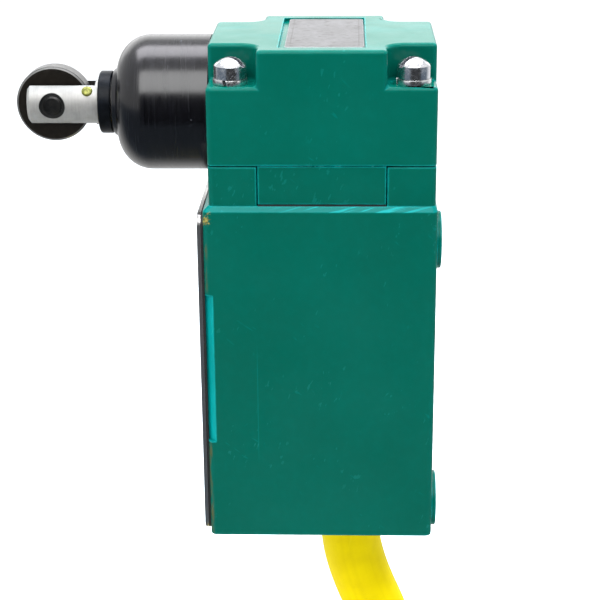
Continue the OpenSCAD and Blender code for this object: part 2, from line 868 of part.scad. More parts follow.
module fixed_contacts() {
    color("peru") difference() {
        union() for (side = [-1, 1]) {
            fixed_contact(side, upper_leaf_z, upper_tab_y, -1);
            fixed_contact(side, lower_leaf_z, lower_tab_y, 1);
        }
        terminal_screw_places() x_bar(tab_x - past, tab_x + 3, 0.6);
    }
}

module terminal_screw_places() {
    for (s = [-1, 1]) {
        translate([0, s * upper_tab_y, upper_leaf_z + strip_t + tab_w / 2]) children();
        translate([0, s * lower_tab_y, lower_leaf_z - tab_w / 2]) children();
    }
}

module terminal_screws() {
    color("silver") terminal_screw_places() union() {
        x_bar(tab_x - 0.8, tab_x, 1.1);
        x_bar(tab_x - past / 2, tab_x + 1.8, 0.6 - loose);
    }
}

// Path of one internal wire from its tab to the resin
function wire_path(y, z_top) =
    let (x = tab_x - 1.6)
    [[x, y, z_top], [x, y, (z_top + block_bottom) / 2], [x, y, block_bottom - 1],
        [x, y * 0.98, block_bottom - 3], [x, y * 0.96, potting_top]];

module lead_wires() {
    upper_end = upper_leaf_z + strip_t + tab_w / 2;
    lower_end = lower_leaf_z - tab_w / 2;
    color("firebrick") for (s = [-1, 1]) {
        tube(wire_path(s * upper_tab_y, upper_end), wire_r, 8, [0, 1, 0]);
        tube(wire_path(s * lower_tab_y, lower_end), wire_r, 8, [0, 1, 0]);
    }
}

module potting() {
    color("khaki") difference() {
        block([house_left + 0.5, -cavity_half + loose, cavity_bottom],
            [cavity_right - loose, cavity_half - loose, potting_top]);
        z_bar(cavity_bottom - past, grommet_top, grommet_r + loose, gland_x);
    }
}

// ---- cable ----

module cable_gland() {
    color("silver") difference() {
        union() {
            z_bar(house_bottom, cavity_bottom - 1, gland_r, gland_x);
            translate([gland_x, 0, hex_bottom]) cylinder(h = gland_hex_t, r = gland_hex_r, $fn = 6);
        }
        z_bar(hex_bottom - past, cavity_bottom + past, grommet_r + loose, gland_x);
    }
}

module cable_grommet() {
    color("black") union() {
        z_bar(hex_bottom, grommet_top, grommet_r, gland_x);
        translate([gland_x, 0, grommet_bottom])
            cylinder(h = grommet_taper, r1 = cable_r + 0.5, r2 = grommet_r, $fn = fn);
    }
}

module cable_run() {
    color("yellow") tube(route, cable_r, 12, [1, 0, 0.2]);
}

// Ring about the coil's axis. Its section is drawn as [radius, distance towards -X].
module about_coil(angle = 360, start = 0) {
    translate([0, 0, coil_z]) rotate([start, 0, 0]) rotate([0, -90, 0]) rotate([0, 0, 90])
        mirror([1, 0, 0]) rotate_extrude(angle = angle, $fn = 96) children();
}

module cable_coil() {
    color("yellow") about_coil()
        round_rect([coil_r - coil_half, -coil_right], [coil_r + coil_half, -coil_left], cable_r);
}

module cable_ties() {
    gap = 0.2;
    lock_size = [3, 7, 7.2];
    inner = coil_half + gap;
    color("black") for (a = tie_angles)
        translate([0, 0, coil_z]) rotate([a, 0, 0]) translate([0, coil_r, 0]) union() {
            difference() {
                block([coil_left - gap - tie_t, -inner - tie_t, -tie_w / 2],
                    [coil_right + gap + tie_t, inner + tie_t, tie_w / 2]);
                block([coil_left - gap, -inner, -tie_w], [coil_right + gap, inner, tie_w]);
            }
            block([coil_left - gap - tie_t - lock_size[0], -lock_size[1] / 2, -lock_size[2] / 2],
                [coil_left - gap - tie_t, lock_size[1] / 2, lock_size[2] / 2]);
        }
}

module lead_ends() {
    swing = end_angles[0] - end_angles[1];
    path = [for (i = [0 : 6]) let (a = end_angles[0] - swing * i / 6)
        [coil_left - end_r - 0.3, coil_r * cos(a), coil_z + coil_r * sin(a)]];
    color("white") tube(path, end_r, 8, [1, 0, 0]);
}

housing();
cover_gasket();
cover_plate();
cover_screws();
head_body();
head_gasket();
head_screws();
lock_washers();
nameplate();
plunger_bushing();
bushing_seal();
plunger();
stop_ring();
wiper_collar();
index_pin();
roller();
roller_sleeve();
roller_pin();
return_spring();
spring_cup();
push_pin();
pin_guide();
pin_seal();
switch_base();
switch_cover();
switch_screws();
switch_button();
contact_carrier();
bridge_contact();
contact_spring();
fixed_contacts();
terminal_screws();
lead_wires();
potting();
cable_gland();
cable_grommet();
cable_run();
cable_coil();
cable_ties();
lead_ends();
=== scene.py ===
import math

import bmesh
import bpy
from mathutils import Matrix, Vector


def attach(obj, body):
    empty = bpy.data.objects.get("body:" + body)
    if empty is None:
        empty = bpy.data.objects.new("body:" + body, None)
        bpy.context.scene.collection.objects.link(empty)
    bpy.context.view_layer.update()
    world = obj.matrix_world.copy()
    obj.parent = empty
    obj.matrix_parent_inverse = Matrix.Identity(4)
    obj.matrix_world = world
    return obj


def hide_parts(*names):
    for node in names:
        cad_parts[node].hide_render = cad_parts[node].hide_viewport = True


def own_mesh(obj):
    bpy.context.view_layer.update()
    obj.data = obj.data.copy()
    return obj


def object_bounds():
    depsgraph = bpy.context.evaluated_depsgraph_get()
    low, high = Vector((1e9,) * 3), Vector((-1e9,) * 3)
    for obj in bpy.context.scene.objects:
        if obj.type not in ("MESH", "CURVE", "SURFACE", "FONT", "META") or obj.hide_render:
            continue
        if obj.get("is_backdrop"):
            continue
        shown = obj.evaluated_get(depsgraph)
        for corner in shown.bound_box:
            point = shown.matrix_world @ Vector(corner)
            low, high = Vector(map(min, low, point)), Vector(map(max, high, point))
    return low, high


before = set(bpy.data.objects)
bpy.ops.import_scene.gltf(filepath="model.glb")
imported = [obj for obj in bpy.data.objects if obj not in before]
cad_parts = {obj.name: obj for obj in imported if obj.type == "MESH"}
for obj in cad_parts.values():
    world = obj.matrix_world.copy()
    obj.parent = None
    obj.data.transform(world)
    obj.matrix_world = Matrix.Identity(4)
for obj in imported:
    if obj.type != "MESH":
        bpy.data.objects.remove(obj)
cad_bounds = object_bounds()

# Sizes are in millimetres, in the part's own frame, until finish_piece() scales a piece to metres.
MM = 0.001

# Housing
HOUSE_LEFT, HOUSE_RIGHT = -49.0, -1.0
HOUSE_HALF = 21.8
HOUSE_BOTTOM, HOUSE_TOP = -35.8, 38.6
HOUSE_BEVEL = 1.1
EDGE_R = 1.2
POST_H, POST_INSET = 8.2, 0.02
CAVITY_LEFT, CAVITY_RIGHT = -50.0, -6.0
CAVITY_HALF = 13.6
CAVITY_BOTTOM, CAVITY_TOP = -24.5, 24.0
BOSS_R = 6.0
HOLE_R = 2.6
HOLE_Y, HOLE_Z = 14.7, 29.75
FLAT_W, FLAT_H, FLAT_Z = 2.4, 33.0, 3.0
GUIDE_R, GUIDE_DEPTH, PUSH_PIN_BORE_R = 4.55, 5.6, 3.0
BLOCK_SCREW_SPOTS = ((10.65, 13.0), (-10.65, -5.0))
BLOCK_SCREW_R, BLOCK_SCREW_BITE = 1.55, 2.8

# Cover
COVER_GASKET_T, COVER_T = 0.5, 0.8
COVER_HALF = 21.0
COVER_BOTTOM, COVER_TOP = -35.0, 36.7
COVER_R = 2.4
COVER_SCREW_Y, COVER_SCREW_Z = 17.3, 13.0
COVER_SCREW_R, COVER_SCREW_HEAD_R, COVER_SCREW_LEN = 1.5, 2.8, 8.0

# Head
HEAD_LEFT, HEAD_RIGHT = -47.8, -1.4
HEAD_HALF = 21.0
HEAD_X = (HEAD_LEFT + HEAD_RIGHT) / 2
TONGUE_BOTTOM, HEAD_BOTTOM = 38.9, 47.0
LEDGE_Z, HEAD_TOP = 63.05, 70.45
CROWN_HALF_X, CROWN_HALF_Y, NOTCH_R = 13.05, 13.2, 4.0
TONGUE_ARM, SEAM = 10.8, 0.2
TONGUE_INSET = 0.12
RECESS_HALF_X, RECESS_HALF_Y, RECESS_T = 8.7, 17.6, 0.8
PLATE_HALF_X, PLATE_HALF_Y, PLATE_T = 8.0, 16.9, 0.6
PLATE_SHIFT_X, PLATE_SHIFT_Y = 0.5, 0.55
CHAMBER_R = 9.5
HEAD_SCREW_X, HEAD_SCREW_Y = 18.4, 16.7
WASHER_R, WASHER_T = 3.5, 1.2
SCREW_HEAD_R, SCREW_SIDE_H, SCREW_DOME_H = 3.3, 2.5, 1.7
SCREW_SLOT_W, SCREW_SLOT_DEPTH = 1.1, 1.9
SCREW_R, SCREW_BITE = 2.0, 7.5

# Plunger and its bushing, along X on the plunger's axis
AXIS_Z = 55.65
BUSHING_R, SHOULDER_R = 14.2, 7.0
NOSE_ROOT, NOSE_TIP = -67.8, -68.7
BUSHING_END, SPIGOT_R, BUSHING_BORE_R = -39.8, 9.4, 4.8
SEAL_INNER_R, SEAL_OUTER_R, SEAL_DEPTH = 10.05, 12.15, 1.15
POCKET_END, POCKET_R = -63.3, 6.75
COLLAR_LEFT, COLLAR_RIGHT, COLLAR_R = -71.8, -69.1, 6.6
PLUNGER_R, TIP_X, FORK_ROOT = 4.76, -87.0, -72.7
FORK_SLOT = 5.0
CAM_LEFT, CAM_RIGHT, CAM_R = -37.2, -18.0, 6.0
RAMP_FOOT, RAMP_SLOPE = -33.4, 0.36
SPRING_SPIGOT_R, SPRING_SPIGOT_L = 3.75, 3
ROLLER_X, ROLLER_R, ROLLER_HALF = -81.6, 7.94, 2.2
SLEEVE_R, PIN_R = 3.0, 2.0
SINK_R, SINK_DEPTH = 2.7, 0.9
INDEX_X, INDEX_R, INDEX_TILT = -74.2, 1.15, 50
INDEX_DEPTH, INDEX_PROUD = 0.7, 0.35

# Springs, at rest, and how far the plunger and the contact carrier travel
RETURN_SPRING_L, TRAVEL = 11.6, 5.5
CONTACT_SPRING_TOP, CONTACT_SPRING_L, CARRIER_DROP = 0.95, 8.4, 1.98

# Cable, its entry and its conductors
GLAND_X = -19.1
NUT_CORNER_R, NUT_H = 11.0, 3
GLAND_BORE_R, GLAND_THREAD_R, GLAND_INNER_R = 9.45, 9.4, 8.35
GROMMET_R, GROMMET_BELOW, GROMMET_ABOVE = 8.3, 7.4, 2.5
CABLE_R, LEAD_R, LEAD_CORE_R = 6.8, 1.25, 0.8
COIL_Z, COIL_R, COIL_TURNS, COIL_PITCH, STEPS_PER_TURN = -183.0, 75.0, 3, 13.8, 96
COIL_START_X, COIL_START_ANGLE = -8.7, 63.7
TIE_ANGLES = (150, 300)
ROUTE = [
    (-18.8, 0, -43.2), (-18.1, 0, -48.9), (-16.7, 0, -54.5), (-14.7, 0, -60.1),
    (-12.5, 0.1, -65.4), (-10.7, 0.6, -70.9), (-9.5, 1.7, -76.4), (-8.9, 3.4, -81.9),
    (-8.7, 5.6, -87.4), (-8.7, 8.3, -92.5), (-8.7, 11.5, -97.3), (-8.7, 15.1, -101.8),
    (-8.7, 19.1, -105.9), (-8.7, 23.7, -109.7), (-8.7, 28.5, -113.0), (-8.7, 33.5, -115.7),
]


# ---- camera ----

CAMERA_PLACE = (-19.2, -337.05, 129.7)
CAMERA_PITCH, CAMERA_YAW, CAMERA_ROLL = -19.383, -1.810, -0.440
FOCAL_SHARE = 2.693617


def make_camera():
    """The camera, from its place, its turn and the focal length as a share of the frame's width."""
    pitch, yaw, roll = (math.radians(a) for a in (CAMERA_PITCH, CAMERA_YAW, CAMERA_ROLL))
    forward = Vector((math.sin(yaw) * math.cos(pitch), math.cos(yaw) * math.cos(pitch), math.sin(pitch)))
    level = Vector((math.cos(yaw), -math.sin(yaw), 0))
    upright = level.cross(forward)
    right = math.cos(roll) * level + math.sin(roll) * upright
    up = -math.sin(roll) * level + math.cos(roll) * upright
    lens = bpy.data.cameras.new("camera")
    lens.lens = FOCAL_SHARE * lens.sensor_width
    lens.clip_start = 0.01
    camera = bpy.data.objects.new("camera", lens)
    turn = Matrix((right, up, -forward)).transposed().to_4x4()
    camera.matrix_world = Matrix.Translation(Vector(CAMERA_PLACE) * MM) @ turn
    bpy.context.scene.collection.objects.link(camera)
    bpy.context.scene.camera = camera


# ---- outlines ----


def soften(points, radius, closed=True, steps=5):
    """The outline with each corner rounded. radius is one number, or one for each corner."""
    count = len(points)
    radii = radius if hasattr(radius, "__len__") else [radius] * count
    made = []
    for i, corner in enumerate(points):
        if radii[i] <= 0 or (not closed and i in (0, count - 1)):
            made.append(tuple(corner))
            continue
        b = Vector(corner)
        to_a = Vector(points[i - 1]) - b
        to_c = Vector(points[(i + 1) % count]) - b
        room = 0.49 * min(to_a.length, to_c.length)
        to_a.normalize()
        to_c.normalize()
        half = to_a.angle(to_c) / 2
        back = min(radii[i] / math.tan(half), room)
        r = back * math.tan(half)
        centre = b + (to_a + to_c).normalized() * (r / math.sin(half))
        start, end = b + to_a * back - centre, b + to_c * back - centre
        sweep = start.angle_signed(end)
        turn = math.atan2(start.y, start.x)
        for k in range(steps + 1):
            a = turn - sweep * k / steps
            made.append((centre.x + r * math.cos(a), centre.y + r * math.sin(a)))
    return made


def rectangle(x0, y0, x1, y1):
    return [(x0, y0), (x1, y0), (x1, y1), (x0, y1)]


def four(x, y):
    """The four spots at plus and minus x and y."""
    return [(sx * x, sy * y) for sx in (-1, 1) for sy in (-1, 1)]


def mirrored(points, sx, sy, cx):
    """The outline mirrored by the signs sx and sy about x = cx and y = 0."""
    return [(cx + sx * (x - cx), sy * y) for x, y in points]


# ---- solids ----


def as_object(name, bm):
    bmesh.ops.recalc_face_normals(bm, faces=bm.faces)
    mesh = bpy.data.meshes.new(name)
    bm.to_mesh(mesh)
    bm.free()
    made = bpy.data.objects.new(name, mesh)
    bpy.context.scene.collection.objects.link(made)
    return made


def loft(name, sections):
    """A closed solid through sections, each (height, outline) with the same number of points."""
    bm = bmesh.new()
    rings = [[bm.verts.new((x, y, z)) for x, y in outline] for z, outline in sections]
    bm.faces.new(reversed(rings[0]))
    bm.faces.new(rings[-1])
    for low, high in zip(rings, rings[1:]):
        for i in range(len(low)):
            k = (i + 1) % len(low)
            bm.faces.new((low[i], low[k], high[k], high[i]))
    return as_object(name, bm)


def prism(name, outline, z0, z1):
    return loft(name, [(z0, outline), (z1, outline)])


def box(name, low, high):
    return prism(name, rectangle(low[0], low[1], high[0], high[1]), low[2], high[2])


def turned(name, profile, axis, centre, closed=False, steps=96):
    """A turned solid. The profile is (along, radius) points, and the axis is X, Y or Z through centre."""
    bm = bmesh.new()
    rings = []
    for along, radius in profile:
        ring = []
        for k in range(1 if radius < 1e-6 else steps):
            a = 2 * math.pi * k / steps
            u, v = radius * math.cos(a), radius * math.sin(a)
            spot = {"X": (along, u, v), "Y": (u, along, v), "Z": (u, v, along)}[axis]
            ring.append(bm.verts.new([s + c for s, c in zip(spot, centre)]))
        rings.append(ring)
    pairs = list(zip(rings, rings[1:])) + ([(rings[-1], rings[0])] if closed else [])
    for one, two in pairs:
        for k in range(steps):
            m = (k + 1) % steps
            loop = [one[k % len(one)], one[m % len(one)], two[m % len(two)], two[k % len(two)]]
            corners = [v for i, v in enumerate(loop) if v not in loop[:i]]
            if len(corners) > 2:
                bm.faces.new(corners)
    return as_object(name, bm)


def rod(name, axis, centre, start, end, radius, steps=64):
    return turned(name, [(start, 0), (start, radius), (end, radius), (end, 0)], axis, centre, steps=steps)


def rods(axis, centres, start, end, radius, steps=64):
    """Equal rods as one object, such as bosses, or the cutter of a row of holes."""
    return joined("rods", [rod("rod", axis, centre, start, end, radius, steps) for centre in centres])


def joined(name, parts):
    """One object from several that don't touch each other."""
    bm = bmesh.new()
    for part in parts:
        bm.from_mesh(part.data)
        discard(part)
    return as_object(name, bm)


def discard(piece):
    mesh = piece.data
    bpy.data.objects.remove(piece)
    bpy.data.meshes.remove(mesh)


def settle(piece):
    """The piece's modifiers become plain mesh."""
    bpy.context.view_layer.update()
    old = piece.data
    mesh = bpy.data.meshes.new_from_object(piece.evaluated_get(bpy.context.evaluated_depsgraph_get()))
    piece.modifiers.clear()
    piece.data = mesh
    bpy.data.meshes.remove(old)


def combine(piece, other, operation):
    step = piece.modifiers.new("combine", "BOOLEAN")
    step.operation = operation
    step.solver = "MANIFOLD"
    step.object = other
    settle(piece)
    discard(other)


def cut(piece, *cutters):
    for cutter in cutters:
        combine(piece, cutter, "DIFFERENCE")


def merge_flats(piece, angle=0.4):
    """Faces that lie in one plane become one face."""
    bm = bmesh.new()
    bm.from_mesh(piece.data)
    bmesh.ops.remove_doubles(bm, verts=bm.verts, dist=1e-4)
    bmesh.ops.dissolve_limit(bm, angle_limit=math.radians(angle), verts=bm.verts, edges=bm.edges)
    bm.to_mesh(piece.data)
    bm.free()


def round_edges(piece, width, segments=3, angle=34, share=None, clamp=True):
    """Rounds the edges sharper than angle. share gives the part of the width that an edge's middle gets."""
    merge_flats(piece)
    bm = bmesh.new()
    bm.from_mesh(piece.data)
    layers = bm.edges.layers.float
    weights = layers.get("bevel_weight_edge") or layers.new("bevel_weight_edge")
    for edge in bm.edges:
        if len(edge.link_faces) == 2 and edge.calc_face_angle() > math.radians(angle):
            middle = (edge.verts[0].co + edge.verts[1].co) / 2
            edge[weights] = share(middle) if share else 1.0
    bm.to_mesh(piece.data)
    bm.free()
    step = piece.modifiers.new("round", "BEVEL")
    step.limit_method = "WEIGHT"
    step.width = width
    step.segments = segments
    step.use_clamp_overlap = clamp
    settle(piece)


def on_rim(spot, axis, centre, radius):
    """Whether a spot is on a bore of that radius about that axis, or inside it."""
    gap = [s - c for s, c in zip(spot, centre)]
    gap["XYZ".index(axis)] = 0
    return math.hypot(*gap) < radius + 0.05


def cad_copy(name, node):
    """A copy of a CAD node in millimetres, its loose triangles merged."""
    bm = bmesh.new()
    bm.from_mesh(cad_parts[node].data)
    bmesh.ops.transform(bm, matrix=Matrix.Scale(1 / MM, 4), verts=bm.verts)
    bmesh.ops.remove_doubles(bm, verts=bm.verts, dist=2e-3)
    bmesh.ops.dissolve_degenerate(bm, dist=1e-4, edges=bm.edges)
    bmesh.ops.dissolve_limit(bm, angle_limit=math.radians(0.4), verts=bm.verts, edges=bm.edges)
    return as_object(name, bm)


def smooth_path(points, per_span):
    """Points along the smooth curve through the given ones."""
    spots = [Vector(p) for p in points]
    spots = [2 * spots[0] - spots[1], *spots, 2 * spots[-1] - spots[-2]]
    made = []
    for a, b, c, d in zip(spots, spots[1:], spots[2:], spots[3:]):
        for k in range(per_span):
            t = k / per_span
            made.append(0.5 * (2 * b + (c - a) * t + (2 * a - 5 * b + 4 * c - d) * t * t
                               + (3 * b - 3 * c + d - a) * t ** 3))
    return made + [spots[-2]]


def swept(name, path, radius, sides, offset=None):
    """A closed tube along a path, with a UV map that runs round it and along it in metres.
    offset(k) moves ring k of the tube sideways, as two numbers in its own plane."""
    bm = bmesh.new()
    uv = bm.loops.layers.uv.new("along")
    across = (path[1] - path[0]).orthogonal().normalized()
    rings, lengths, length = [], [], 0.0
    for k, spot in enumerate(path):
        heading = (path[min(k + 1, len(path) - 1)] - path[max(k - 1, 0)]).normalized()
        across = (across - heading * across.dot(heading)).normalized()
        other = heading.cross(across)
        if k:
            length += (spot - path[k - 1]).length
        lengths.append(length * MM)
        shift = offset(k) if offset else (0, 0)
        centre = spot + across * shift[0] + other * shift[1]
        turns = [2 * math.pi * i / sides for i in range(sides)]
        rings.append([bm.verts.new(centre + radius * (across * math.cos(a) + other * math.sin(a)))
                      for a in turns])
    for k in range(len(rings) - 1):
        for i in range(sides):
            m = (i + 1) % sides
            face = bm.faces.new((rings[k][i], rings[k][m], rings[k + 1][m], rings[k + 1][i]))
            around = [i / sides, (i + 1) / sides, (i + 1) / sides, i / sides]
            for loop, u, v in zip(face.loops, around, (lengths[k],) * 2 + (lengths[k + 1],) * 2):
                loop[uv].uv = (u, v)
    bm.faces.new(reversed(rings[0]))
    bm.faces.new(rings[-1])
    return as_object(name, bm)


def finish_piece(piece, body, finish, replaces=(), crease=32):
    """Scales the piece to metres, smooths it up to the crease angle, gives it its finish, and lets it ride on
    its body in place of the CAD nodes that it replaces."""
    mesh = piece.data
    mesh.transform(Matrix.Scale(MM, 4))
    mesh.materials.clear()
    mesh.materials.append(finish)
    for face in mesh.polygons:
        face.material_index = 0
        face.use_smooth = True
    mesh.set_sharp_from_angle(angle=math.radians(crease))
    step = piece.modifiers.new("even", "WEIGHTED_NORMAL")
    step.keep_sharp = True
    settle(piece)
    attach(piece, body)
    if replaces:
        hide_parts(*replaces)
    return piece


# ---- finishes ----


class Finish:
    """One procedural finish, built node by node. Its patterns read Object coordinates."""

    def __init__(self, name, **all_over):
        self.material = bpy.data.materials.new(name)
        self.material.use_nodes = True
        self.tree = self.material.node_tree
        self.shader = self.tree.nodes["Principled BSDF"]
        for socket, value in all_over.items():
            self.shader.inputs[socket.replace("_", " ")].default_value = value
        self.place = self.add("ShaderNodeTexCoord").outputs["Object"]

    def add(self, kind, **settings):
        node = self.tree.nodes.new(kind)
        for key, value in settings.items():
            setattr(node, key, value)
        return node

    def feed(self, socket, value):
        """Links a socket, or sets it to a plain value."""
        if isinstance(value, bpy.types.NodeSocket):
            self.tree.links.new(value, socket)
        else:
            socket.default_value = value

    def scaled(self, per_mm, stretch=(1, 1, 1), turn=(0, 0, 0), coords=None):
        """The place turned, then stretched, so that one pattern cell is 1 / per_mm millimetres."""
        coords = coords or self.place
        if any(turn):
            turned_place = self.add("ShaderNodeMapping")
            self.feed(turned_place.inputs["Vector"], coords)
            turned_place.inputs["Rotation"].default_value = [math.radians(a) for a in turn]
            coords = turned_place.outputs["Vector"]
        mapping = self.add("ShaderNodeMapping")
        self.feed(mapping.inputs["Vector"], coords)
        mapping.inputs["Scale"].default_value = [s * per_mm / MM for s in stretch]
        return mapping.outputs["Vector"]

    def noise(self, per_mm, detail=3.0, roughness=0.5, distortion=0.0, **where):
        node = self.add("ShaderNodeTexNoise")
        self.feed(node.inputs["Vector"], self.scaled(per_mm, **where))
        node.inputs["Scale"].default_value = 1.0
        node.inputs["Detail"].default_value = detail
        node.inputs["Roughness"].default_value = roughness
        node.inputs["Distortion"].default_value = distortion
        return node.outputs["Fac"]

    def remap(self, value, low, high, start=0.0, end=1.0):
        node = self.add("ShaderNodeMapRange")
        self.feed(node.inputs["Value"], value)
        for socket, number in (("From Min", low), ("From Max", high), ("To Min", start), ("To Max", end)):
            node.inputs[socket].default_value = number
        return node.outputs["Result"]

    def maths(self, operation, a, b=0.0):
        node = self.add("ShaderNodeMath", operation=operation)
        self.feed(node.inputs[0], a)
        self.feed(node.inputs[1], b)
        return node.outputs[0]

    def mix(self, share, a, b):
        node = self.add("ShaderNodeMix", data_type="RGBA")
        self.feed(node.inputs[0], share)
        self.feed(node.inputs[6], (*a, 1) if isinstance(a, tuple) else a)
        self.feed(node.inputs[7], (*b, 1) if isinstance(b, tuple) else b)
        return node.outputs[2]

    def part(self, axis):
        """One coordinate of the place, in millimetres."""
        split = self.add("ShaderNodeSeparateXYZ")
        self.feed(split.inputs[0], self.place)
        return self.maths("MULTIPLY", split.outputs[axis], 1 / MM)

    def between(self, value, low, high, soft):
        """1 where value lies from low to high, with soft edges."""
        rise = self.remap(value, low - soft, low + soft)
        fall = self.remap(value, high - soft, high + soft, 1.0, 0.0)
        return self.maths("MULTIPLY", rise, fall)

    def near(self, spot, reach, soft):
        """1 within reach of a spot, in millimetres, with a ragged edge."""
        node = self.add("ShaderNodeVectorMath", operation="DISTANCE")
        self.feed(node.inputs[0], self.place)
        node.inputs[1].default_value = [c * MM for c in spot]
        far = self.maths("MULTIPLY", node.outputs["Value"], 1 / MM)
        ragged = self.maths("ADD", far, self.remap(self.noise(2.2, 5, 0.7), 0.3, 0.7, -soft, soft))
        return self.remap(ragged, reach - 0.15, reach + 0.15, 1.0, 0.0)

    def from_roller_axis(self):
        """How far a point is from the roller's axis, in millimetres."""
        flat, split = self.add("ShaderNodeCombineXYZ"), self.add("ShaderNodeSeparateXYZ")
        self.feed(split.inputs[0], self.place)
        self.feed(flat.inputs[0], split.outputs[0])
        self.feed(flat.inputs[2], split.outputs[2])
        away = self.add("ShaderNodeVectorMath", operation="DISTANCE")
        self.feed(away.inputs[0], flat.outputs[0])
        away.inputs[1].default_value = (ROLLER_X * MM, 0, AXIS_Z * MM)
        return self.maths("MULTIPLY", away.outputs["Value"], 1 / MM)

    def times(self, *values):
        made = values[0]
        for value in values[1:]:
            made = self.maths("MULTIPLY", made, value)
        return made

    def specks(self, per_mm, size, share):
        """Small round spots: one in some cells of a random grid."""
        node = self.add("ShaderNodeTexVoronoi")
        self.feed(node.inputs["Vector"], self.scaled(per_mm))
        node.inputs["Scale"].default_value = 1.0
        spot = self.remap(node.outputs["Distance"], size, size * 1.6, 1.0, 0.0)
        split = self.add("ShaderNodeSeparateColor")
        self.feed(split.inputs[0], node.outputs["Color"])
        return self.times(spot, self.maths("LESS_THAN", split.outputs[0], share))

    def scratches(self, per_mm, turn, stretch=(0.03, 1, 1), share=0.66):
        """Thin broken lines that run the stretched way."""
        lines = self.remap(self.noise(per_mm, 2, stretch=stretch, turn=turn), share, share + 0.03)
        return self.times(lines, self.remap(self.noise(0.12, 2), 0.5, 0.6))

    def edges(self, radius):
        """1 on the sharp edges, from the difference between the rounded and the true normal."""
        rounded = self.add("ShaderNodeBevel", samples=4)
        rounded.inputs["Radius"].default_value = radius * MM
        flat = self.add("ShaderNodeNewGeometry")
        node = self.add("ShaderNodeVectorMath", operation="DOT_PRODUCT")
        self.feed(node.inputs[0], rounded.outputs["Normal"])
        self.feed(node.inputs[1], flat.outputs["Normal"])
        return self.remap(node.outputs["Value"], 0.998, 0.93, 0.0, 1.0)

    def colour(self, value):
        self.feed(self.shader.inputs["Base Color"], value)

    def roughness(self, value):
        self.feed(self.shader.inputs["Roughness"], value)

    def bump(self, height, depth, strength=1.0):
        """Adds relief, depth millimetres deep, on top of what is there."""
        node = self.add("ShaderNodeBump")
        node.inputs["Strength"].default_value = strength
        node.inputs["Distance"].default_value = depth * MM
        self.feed(node.inputs["Height"], height)
        normal = self.shader.inputs["Normal"]
        if normal.is_linked:
            self.feed(node.inputs["Normal"], normal.links[0].from_socket)
        self.feed(normal, node.outputs["Normal"])


def plain_finish(name, dark, light, rough=(0.35, 0.5), grain=2.0, relief=0.01, blotch=0.15, **all_over):
    """A finish for small and inner pieces: two shades in blotches, worn edges, uneven gloss, a fine grain."""
    f = Finish(name, **all_over)
    shade = f.remap(f.noise(blotch, 4, 0.6), 0.3, 0.7)
    worn = f.times(f.edges(0.12), f.remap(f.noise(0.8, 2), 0.35, 0.65, 0.2, 0.7))
    bright = tuple(min(1.0, c * 1.5 + 0.01) for c in light)
    f.colour(f.mix(worn, f.mix(shade, dark, light), bright))
    f.roughness(f.remap(f.noise(grain / 3, 4), 0.3, 0.7, *rough))
    f.bump(f.noise(grain, 4), relief, 0.6)
    return f.material


PAINT_DEEP = (0.0002, 0.060, 0.040)
PAINT_FRESH = (0.0003, 0.067, 0.046)
# Pale teal: rubbed paint, specks and scratches, and also the painted highlight on the rounded edges and the
# top bevel.
PALE_WEAR_AND_HIGHLIGHT = (0.001, 0.34, 0.34)
PRIMER = (0.085, 0.052, 0.008)
BARE_METAL = (0.27, 0.23, 0.06)
JACKET_DEEP, JACKET_BRIGHT = (0.53, 0.39, 0.0), (0.60, 0.45, 0.0)

# Where the housing's paint is marked. A chip is its middle, its reach and how ragged its edge is.
CHIPS = (((-48.4, -21.6, 35.7), 0.8, 0.8), ((-47.6, -21.5, 37.2), 0.3, 0.5))
SCRATCH_X, SCRATCH_Z = (-38.3, -38.15), (-16.0, 6.0)
STREAKS_X, WORN_EDGE_Z = (-31.0, -3.0), (21.0, 36.0)


def teal_paint(name, marks):
    """Gloss enamel on a casting: orange peel, dust specks, fine scratches, and pale edges that are mostly a
    painted highlight.
    """
    f = Finish(name, Specular_IOR_Level=0.06)
    base = f.mix(f.remap(f.noise(0.035, 3), 0.35, 0.65), PAINT_DEEP, PAINT_FRESH)
    base = f.mix(f.times(f.remap(f.noise(0.5, 5, 0.6), 0.45, 0.75), 0.015), base, PALE_WEAR_AND_HIGHLIGHT)
    # Painted highlight: the rounded edges are mixed towards pale as if they caught the light, with only a
    # little real paint thinning.
    edge = f.times(f.edges(0.5), f.remap(f.noise(0.35, 4), 0.3, 0.7, 0.25, 0.85))
    base = f.mix(f.times(edge, 0.6), base, PALE_WEAR_AND_HIGHLIGHT)
    dust = f.specks(0.22, 0.028, 0.16)
    fine = f.scratches(1.3, (0, 68, 20), stretch=(0.06, 1, 1))
    long_marks = f.scratches(0.9, (0, -38, 10), stretch=(0.03, 1, 1), share=0.70)
    base = f.mix(f.times(dust, 0.10), base, PALE_WEAR_AND_HIGHLIGHT)
    base = f.mix(f.times(f.maths("MAXIMUM", fine, long_marks), 0.06), base, PALE_WEAR_AND_HIGHLIGHT)
    f.colour(marks(f, base))
    gloss = f.remap(f.noise(0.09, 4, 0.6), 0.3, 0.7, 0.19, 0.27)
    f.roughness(f.maths("ADD", gloss, f.times(f.maths("MAXIMUM", fine, edge), 0.1)))
    f.bump(f.noise(0.42, 2), 0.05, 0.18)
    f.bump(f.noise(2.2, 3), 0.012, 0.25)
    f.bump(f.maths("SUBTRACT", 0.0, f.maths("MAXIMUM", fine, long_marks)), 0.02, 0.4)
    return f.material


